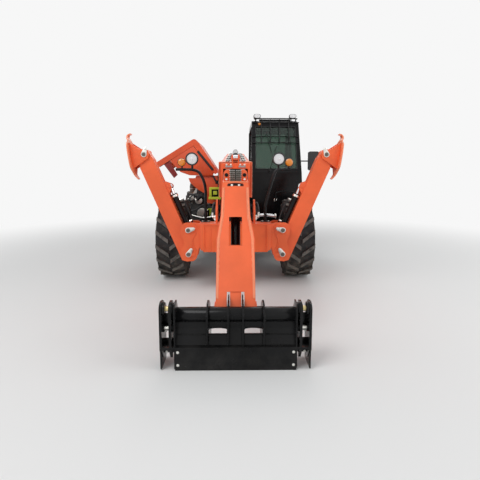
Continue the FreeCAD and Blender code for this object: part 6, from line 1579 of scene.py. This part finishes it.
@dataclass
class Feet:
    """The stabilisers' feet: a wedge of two cheeks to a thin sole whose ends curl back."""

    pin: tuple[float, float, float] = (1.159, -1.330, 1.815)
    sole: tuple[tuple[float, float], ...] = (
        (0.172, 0.258), (0.203, 0.246), (0.216, 0.212), (0.197, 0.168), (0.189, 0.100), (0.184, 0.040), (0.166, -0.090),
        (0.141, -0.214), (0.127, -0.262), (0.086, -0.314))
    flare: tuple[tuple[float, float], ...] = ((-0.314, 0.028), (-0.250, 0.060), (-0.170, 0.150), (0.130, 0.150),
                                              (0.175, 0.070), (0.260, 0.030))
    cheek: tuple[tuple[float, float], ...] = (
        (0.184, 0.150), (0.150, -0.184), (0.112, -0.164), (-0.052, -0.050), (-0.066, -0.004), (-0.050, 0.048),
        (-0.010, 0.068), (0.050, 0.062))

    def half_depth(self, up: float) -> float:
        """Half the sole's depth at a height over the pin."""
        for (low, a), (high, b) in zip(self.flare, self.flare[1:]):
            if up <= high:
                return a + (b - a) * max(0.0, up - low) / (high - low)
        return self.flare[-1][1]

    def build(self) -> None:
        """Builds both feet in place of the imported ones."""
        for side, name in ((1, "left"), (-1, "right")):
            foot = Piece(f"foot_{name}_shoe", f"foot_{name}", Slot.ORANGE, Finishes.ORANGE, Finishes.CHAIN,
                         Finishes.ZINC, Finishes.EDGE_HIGHLIGHT)
            px, py, pz = self.pin
            line = smooth_line([(u, 0.0, v) for u, v in self.sole], 4)
            form = bmesh.new()
            rows = []
            for place, spot in enumerate(line):
                way = (line[min(place + 1, len(line) - 1)] - line[max(place - 1, 0)]).normalized()
                out = Vector((way.z, 0.0, -way.x)) * -0.008
                deep = self.half_depth(spot.z)
                rows.append([form.verts.new((side * (px + spot.x + shift.x), py - 0.02 + y, pz + spot.z + shift.z))
                             for y, shift in ((-deep, out), (deep, out), (deep, -out), (-deep, -out))])
            for here, there in zip(rows, rows[1:]):
                for k in range(4):
                    form.faces.new((here[k], here[(k + 1) % 4], there[(k + 1) % 4], there[k]))
            form.faces.new(rows[0])
            form.faces.new(rows[-1])
            # The sole is in the painted-highlight orange, for the light that its edge catches.
            foot.join(form, 3)
            for y in (py - 0.099, py + 0.083):
                at = Matrix(((side, 0, 0, px * side), (0, 0, 1, y), (0, 1, 0, pz), (0, 0, 0, 1)))
                foot.plate(list(self.cheek), 0.016, at, 0.004, 0)
            foot.plate([(0.19, -0.05), (0.19, 0.05), (0.045, 0.03), (0.045, -0.03)], 0.012,
                       Matrix(((side, 0, 0, px * side), (0, 1, 0, py), (0, 0, 1, pz + 0.058), (0, 0, 0, 1))), 0.003, 0)
            self.flag(foot, Vector((px * side, py - 0.101, pz)), 1.9 if side > 0 else 1.3)
            for y in (py - 0.101, py + 0.101):
                foot.lathe([(-0.004, 0.024), (0.004, 0.024), (0.006, 0.020)], (px * side, y, pz), (0, -1, 0), 24, 2)
            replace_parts(foot.done(), f"foot_{name}")

    @staticmethod
    def flag(piece: Piece, at: Vector, turn: float) -> None:
        """Adds a pin's teardrop keeper plate with its bolt.

        Args:
            piece: The piece that takes it.
            at: The pin's middle on the face.
            turn: The way that the plate's tip points, in radians from the X axis.
        """
        tip = Vector((math.cos(turn), 0.0, math.sin(turn)))
        side = Vector((-tip.z, 0.0, tip.x))
        outline = [(0.036 * math.cos(t), 0.036 * math.sin(t)) for t in [math.pi / 2 + k * math.pi / 10 for k in range(11)]]
        outline += [(0.078, -0.020), (0.092, -0.008), (0.092, 0.008), (0.078, 0.020)]
        move = Matrix(((tip.x, side.x, 0.0, at.x), (0.0, 0.0, -1.0, at.y), (tip.z, side.z, 0.0, at.z), (0, 0, 0, 1)))
        piece.plate(outline, 0.006, move, 0.002, 2)
        piece.lathe([(0.004, 0.027), (0.012, 0.027), (0.014, 0.022), (0.0145, 0.009), (0.009, 0.008)], at, (0, -1, 0), 28, 1)
        piece.bolt(at + tip * 0.070 + Vector((0, -0.006, 0)), (0, -1, 0), 0.009, 2)


@dataclass
class BeamFlags:
    """The keeper plates of the legs' and rams' pins, the beam's seam and its pivot plates' welds."""

    pin_x: float = 0.609

    def build(self) -> None:
        """Builds the plates and beads on the beam's front."""
        plates = Piece("beam_flags", "chassis", Slot.ORANGE, Finishes.ORANGE, Finishes.CHAIN, Finishes.ZINC)
        for side in (1, -1):
            for z, rise in ((0.535, 1.05 if side < 0 else 2.1), (0.850, 0.25 if side < 0 else 2.9)):
                Feet.flag(plates, Vector((self.pin_x * side, -1.477, z)), rise)
            edge = [(0.520, 0.930), (0.497, 0.880), (0.516, 0.800), (0.553, 0.720), (0.540, 0.640), (0.505, 0.585)]
            plates.pipe([(x * side, -1.4625, z) for x, z in edge], 0.006, 6, 0, 16, 0.25)
        plates.pipe([(-0.315, -1.461, 0.565), (-0.315, -1.461, 0.75), (-0.315, -1.461, 0.925)], 0.004, 6, 0, 4)
        for side in (1, -1):
            plates.block((min(0.398 * side, 0.455 * side), -1.473, 0.585), (max(0.398 * side, 0.455 * side), -1.452, 0.918),
                         0.009, 0)
        plates.pipe([(-0.47, -1.462, 0.912), (0.0, -1.462, 0.912), (0.47, -1.462, 0.912)], 0.007, 8, 0, 2)
        plates.done()


@dataclass
class Stalks:
    """The bent tubes that carry the lamps, with the lamps' brackets."""

    y: float = -1.240
    radius: float = 0.019

    def build(self) -> None:
        """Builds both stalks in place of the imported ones."""
        tubes = Piece("lamp_tubes", "chassis", Slot.FRAME, Finishes.FRAME, Finishes.ZINC)
        y = self.y
        tubes.pipe([(-0.400, y, 0.925), (-0.400, y, 1.18), (-0.398, y, 1.34), (-0.420, y, 1.47), (-0.480, y, 1.585),
                    (-0.560, y, 1.622), (-0.66, y, 1.628), (-0.790, y, 1.628)], self.radius, 14, 0, 8)
        tubes.pipe([(0.400, y, 0.925), (0.400, y, 1.10), (0.405, y, 1.16), (0.460, y, 1.38), (0.520, y, 1.575),
                    (0.560, y, 1.620), (0.64, y, 1.630), (0.735, y, 1.628)], self.radius, 14, 0, 8)
        for side in (1, -1):
            tubes.pipe([(0.572 * side, y, 1.625), (0.572 * side, y, 1.66), (0.572 * side, y, 1.692)], 0.014, 12)
            tubes.pipe([(0.708 * side, y, 1.628), (0.708 * side, y, 1.65), (0.708 * side, y, 1.684)], 0.010, 12)
            tubes.block((0.34 if side > 0 else -0.46, y - 0.05, 0.929), (0.46 if side > 0 else -0.34, y + 0.05, 0.941),
                        0.003, 0)
            for x in (0.36, 0.44):
                tubes.bolt((x * side, y - 0.03, 0.941), (0, 0, 1), 0.008, 1)
        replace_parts(tubes.done(), "lamp_stalks")


@dataclass
class CoverPanels:
    """The closing panel at the open cover's front and the orange panels beside the engine."""

    def build(self) -> None:
        """Builds the panels from where the photograph shows them."""
        panel = Piece("cover_front_panel", "engine_hood", Slot.HOOD, Finishes.HOOD, Finishes.DEEP_RED,
                      Finishes.SEAL)
        face = Matrix(((1, 0, 0, 0.0), (0, 0, -1, 0.272), (0, 1, 0, 0.0), (0, 0, 0, 1)))
        panel.plate([(-0.640, 2.118), (-0.335, 1.660), (-0.400, 1.545), (-0.560, 1.545), (-0.800, 1.550), (-0.960, 1.606),
                     (-1.168, 1.838)], 0.005, face, 0.002, 0)
        panel.plate([(-1.190, 1.845), (-1.165, 1.815), (-1.010, 1.560), (-1.075, 1.500), (-1.265, 1.760)], 0.005,
                    Matrix.Translation((0, 0.012, 0)) @ face, 0.002, 1)
        panel.pipe([(-0.655, 0.264, 1.965), (-0.520, 0.262, 1.800), (-0.392, 0.264, 1.640)], 0.021, 12, 2, 6)
        panel.done()
        side = Piece("pod_inner_panel", "chassis", Slot.ORANGE, Finishes.HOOD, Finishes.SAFETY, Finishes.FRAME)
        side.plate([(-0.270, 1.545), (-0.270, 1.03), (-0.50, 1.06), (-0.53, 1.22), (-0.68, 1.31), (-0.80, 1.42),
                    (-0.83, 1.500), (-0.71, 1.500), (-0.69, 1.545)], 0.006,
                   Matrix.Translation((0, 0.052, 0)) @ face, 0.002, 0)
        x, z = -0.352, 1.245
        for low, high in (((-0.100, 0.062), (0.100, 0.100)), ((-0.115, -0.110), (0.100, -0.066)), ((-0.100, -0.066),
                          (-0.060, 0.062)), ((0.060, -0.066), (0.100, 0.062)), ((-0.034, -0.030), (0.034, 0.034))):
            side.block((x + low[0], 0.150, z + low[1]), (x + high[0], 0.215, z + high[1]), 0.006, 1)
        side.block((x - 0.070, 0.205, z - 0.09), (x + 0.085, 0.250, z + 0.070), 0.008, 2)
        side.block((x + 0.058, 0.240, z - 0.08), (x + 0.082, 0.326, z + 0.06), 0.004, 2)
        side.done()


@dataclass
class Studio:
    """The pale floor, the soft light and the camera at the photograph's angle."""

    frame_size: float = 480.0
    focal_px: float = 355.4
    eye: Point = (0.0, -5.993, 1.555)
    middle_px: tuple[float, float] = (240.0, 214.0)
    horizon_px: float = 175.0
    plane_px: float = 235.5
    floor_colour: Colour = (0.78, 0.78, 0.77)
    white: Colour = (0.93, 0.93, 0.93)
    fade_reach: tuple[float, float] = (3.0, 8.5)
    world_level: float = 0.45
    lamps: tuple[tuple[str, Point, float, float], ...] = (
        ("key", (-4.5, -6.5, 7.5), 5.0, 370.0), ("fill", (6.5, -4.0, 4.5), 5.0, 180.0),
        ("back", (1.0, 7.0, 8.0), 6.0, 260.0))

    @staticmethod
    def unlit(bench: Bench) -> bpy.types.NodeSocket:
        """The share of rays that see the white background: those of the camera, gloss and glass."""
        path = bench.node("LightPath").outputs
        seen = bench.math("MAXIMUM", path["Is Camera Ray"], path["Is Glossy Ray"])
        return bench.math("MAXIMUM", seen, path["Is Transmission Ray"])

    def camera(self) -> None:
        """Sets the camera on the machine's centre plane, a little above head height of the wheels."""
        lens = bpy.data.cameras.new("camera")
        lens.sensor_width = 36.0
        lens.lens = self.focal_px / self.frame_size * lens.sensor_width
        lens.shift_y = (self.middle_px[1] - self.frame_size / 2) / self.frame_size
        lens.clip_end = 200.0
        eye = bpy.data.objects.new("camera", lens)
        bpy.context.scene.collection.objects.link(eye)
        pitch = math.atan((self.middle_px[1] - self.horizon_px) / self.focal_px)
        yaw = math.atan((self.middle_px[0] - self.plane_px) / self.focal_px)
        eye.location = self.eye
        eye.rotation_euler = (math.pi / 2 - pitch, 0.0, -yaw)
        bpy.context.scene.camera = eye

    def floor(self) -> None:
        """Lays the floor and bends it up behind the machine."""
        made = bpy.data.materials.new("studio_floor")
        made.use_nodes = True
        bench = Bench(made.node_tree)
        shader = made.node_tree.nodes["Principled BSDF"]
        shader.inputs["Base Color"].default_value = opaque(self.floor_colour)
        shader.inputs["Roughness"].default_value = 0.75
        far = bench.node("VectorMath", {"operation": "LENGTH"}, Vector=bench.place()).outputs["Value"]
        white = bench.node("Emission", None, Color=opaque(self.white), Strength=1.0)
        share = bench.math("MULTIPLY", bench.span(far, *self.fade_reach), self.unlit(bench))
        mix = bench.node("MixShader", None, Fac=share)
        bench.put(mix.inputs[1], shader.outputs["BSDF"])
        bench.put(mix.inputs[2], white.outputs["Emission"])
        bench.put(made.node_tree.nodes["Material Output"].inputs["Surface"], mix.outputs["Shader"])
        mesh = bpy.data.meshes.new("floor")
        work = bmesh.new()
        half, back, rise, steps = 30.0, 16.0, 4.0, 12
        rows = [(-30.0, 0.0)] + [
            (back + rise * math.sin(t * math.pi / 2 / steps), rise * (1 - math.cos(t * math.pi / 2 / steps)))
            for t in range(steps + 1)] + [(back + rise, 22.0)]
        edges = [[work.verts.new((x, y, z)) for x in (-half, half)] for y, z in rows]
        for low, high in zip(edges, edges[1:]):
            work.faces.new((low[0], low[1], high[1], high[0])).smooth = True
        work.to_mesh(mesh)
        work.free()
        ground = bpy.data.objects.new("floor", mesh)
        ground.data.materials.append(made)
        bpy.context.scene.collection.objects.link(ground)

    def light(self) -> None:
        """Hangs three wide lamps over a soft, even world."""
        world = bpy.data.worlds.new("studio")
        world.use_nodes = True
        bench = Bench(world.node_tree)
        soft = world.node_tree.nodes["Background"]
        soft.inputs["Color"].default_value = (0.95, 0.97, 1.0, 1.0)
        soft.inputs["Strength"].default_value = self.world_level
        seen = bench.node("Background", None, Color=opaque(self.white), Strength=1.0)
        mix = bench.node("MixShader", None, Fac=self.unlit(bench))
        bench.put(mix.inputs[1], soft.outputs["Background"])
        bench.put(mix.inputs[2], seen.outputs["Background"])
        bench.put(world.node_tree.nodes["World Output"].inputs["Surface"], mix.outputs["Shader"])
        bpy.context.scene.world = world
        for name, at, size, power in self.lamps:
            lamp = bpy.data.lights.new(name, "AREA")
            lamp.energy = power
            lamp.size = size
            holder = bpy.data.objects.new(name, lamp)
            holder.location = at
            holder.rotation_euler = (Vector((0.0, -0.5, 1.0)) - Vector(at)).to_track_quat("-Z", "Y").to_euler()
            bpy.context.scene.collection.objects.link(holder)

    def build(self) -> None:
        """Sets the whole studio."""
        bpy.context.scene.view_settings.view_transform = "Standard"
        self.camera()
        self.floor()
        self.light()


def main() -> None:
    """Dresses the machine piece by piece and sets the studio."""
    logging.basicConfig(level=logging.INFO, format="%(name)s: %(message)s")
    by_slot = {Slot.ORANGE: Finishes.ORANGE, Slot.BLACK: Finishes.BLACK, Slot.FRAME: Finishes.FRAME,
               Slot.TYRE: Finishes.TYRE, Slot.RIM: Finishes.RIM, Slot.CHROME: Finishes.CHROME,
               Slot.GLASS: Finishes.GLASS, Slot.LAMP: Finishes.LAMP, Slot.AMBER: Finishes.AMBER,
               Slot.RED: Finishes.RED, Slot.CLOTH: Finishes.CLOTH, Slot.PLASTIC: Finishes.PLASTIC,
               Slot.PAD: Finishes.PAD, Slot.ENGINE: Finishes.CAST, Slot.HOOD: Finishes.HOOD,
               Slot.WEIGHT: Finishes.WEIGHT}
    for part in frame["record"]["subparts"]:
        dress(part["node"], Finishes.REAR_TYRE if part["node"].startswith("tyre_rear") else
              by_slot[Slot(part["material_slot"])])
        LOG.info("%s finished", part["node"])
    for group in (BoomHead(), BoomMouth(), LampSet(), CouplerTrim(), CarrierPlates(), CabDress(), Legs(), Feet(),
                  BeamFlags(), Stalks(), Wheels(), EngineDress(), HoodDress(), CoverPanels(), ChassisDress()):
        group.build()
    Studio().build()


if __name__ == "__main__":
    main()
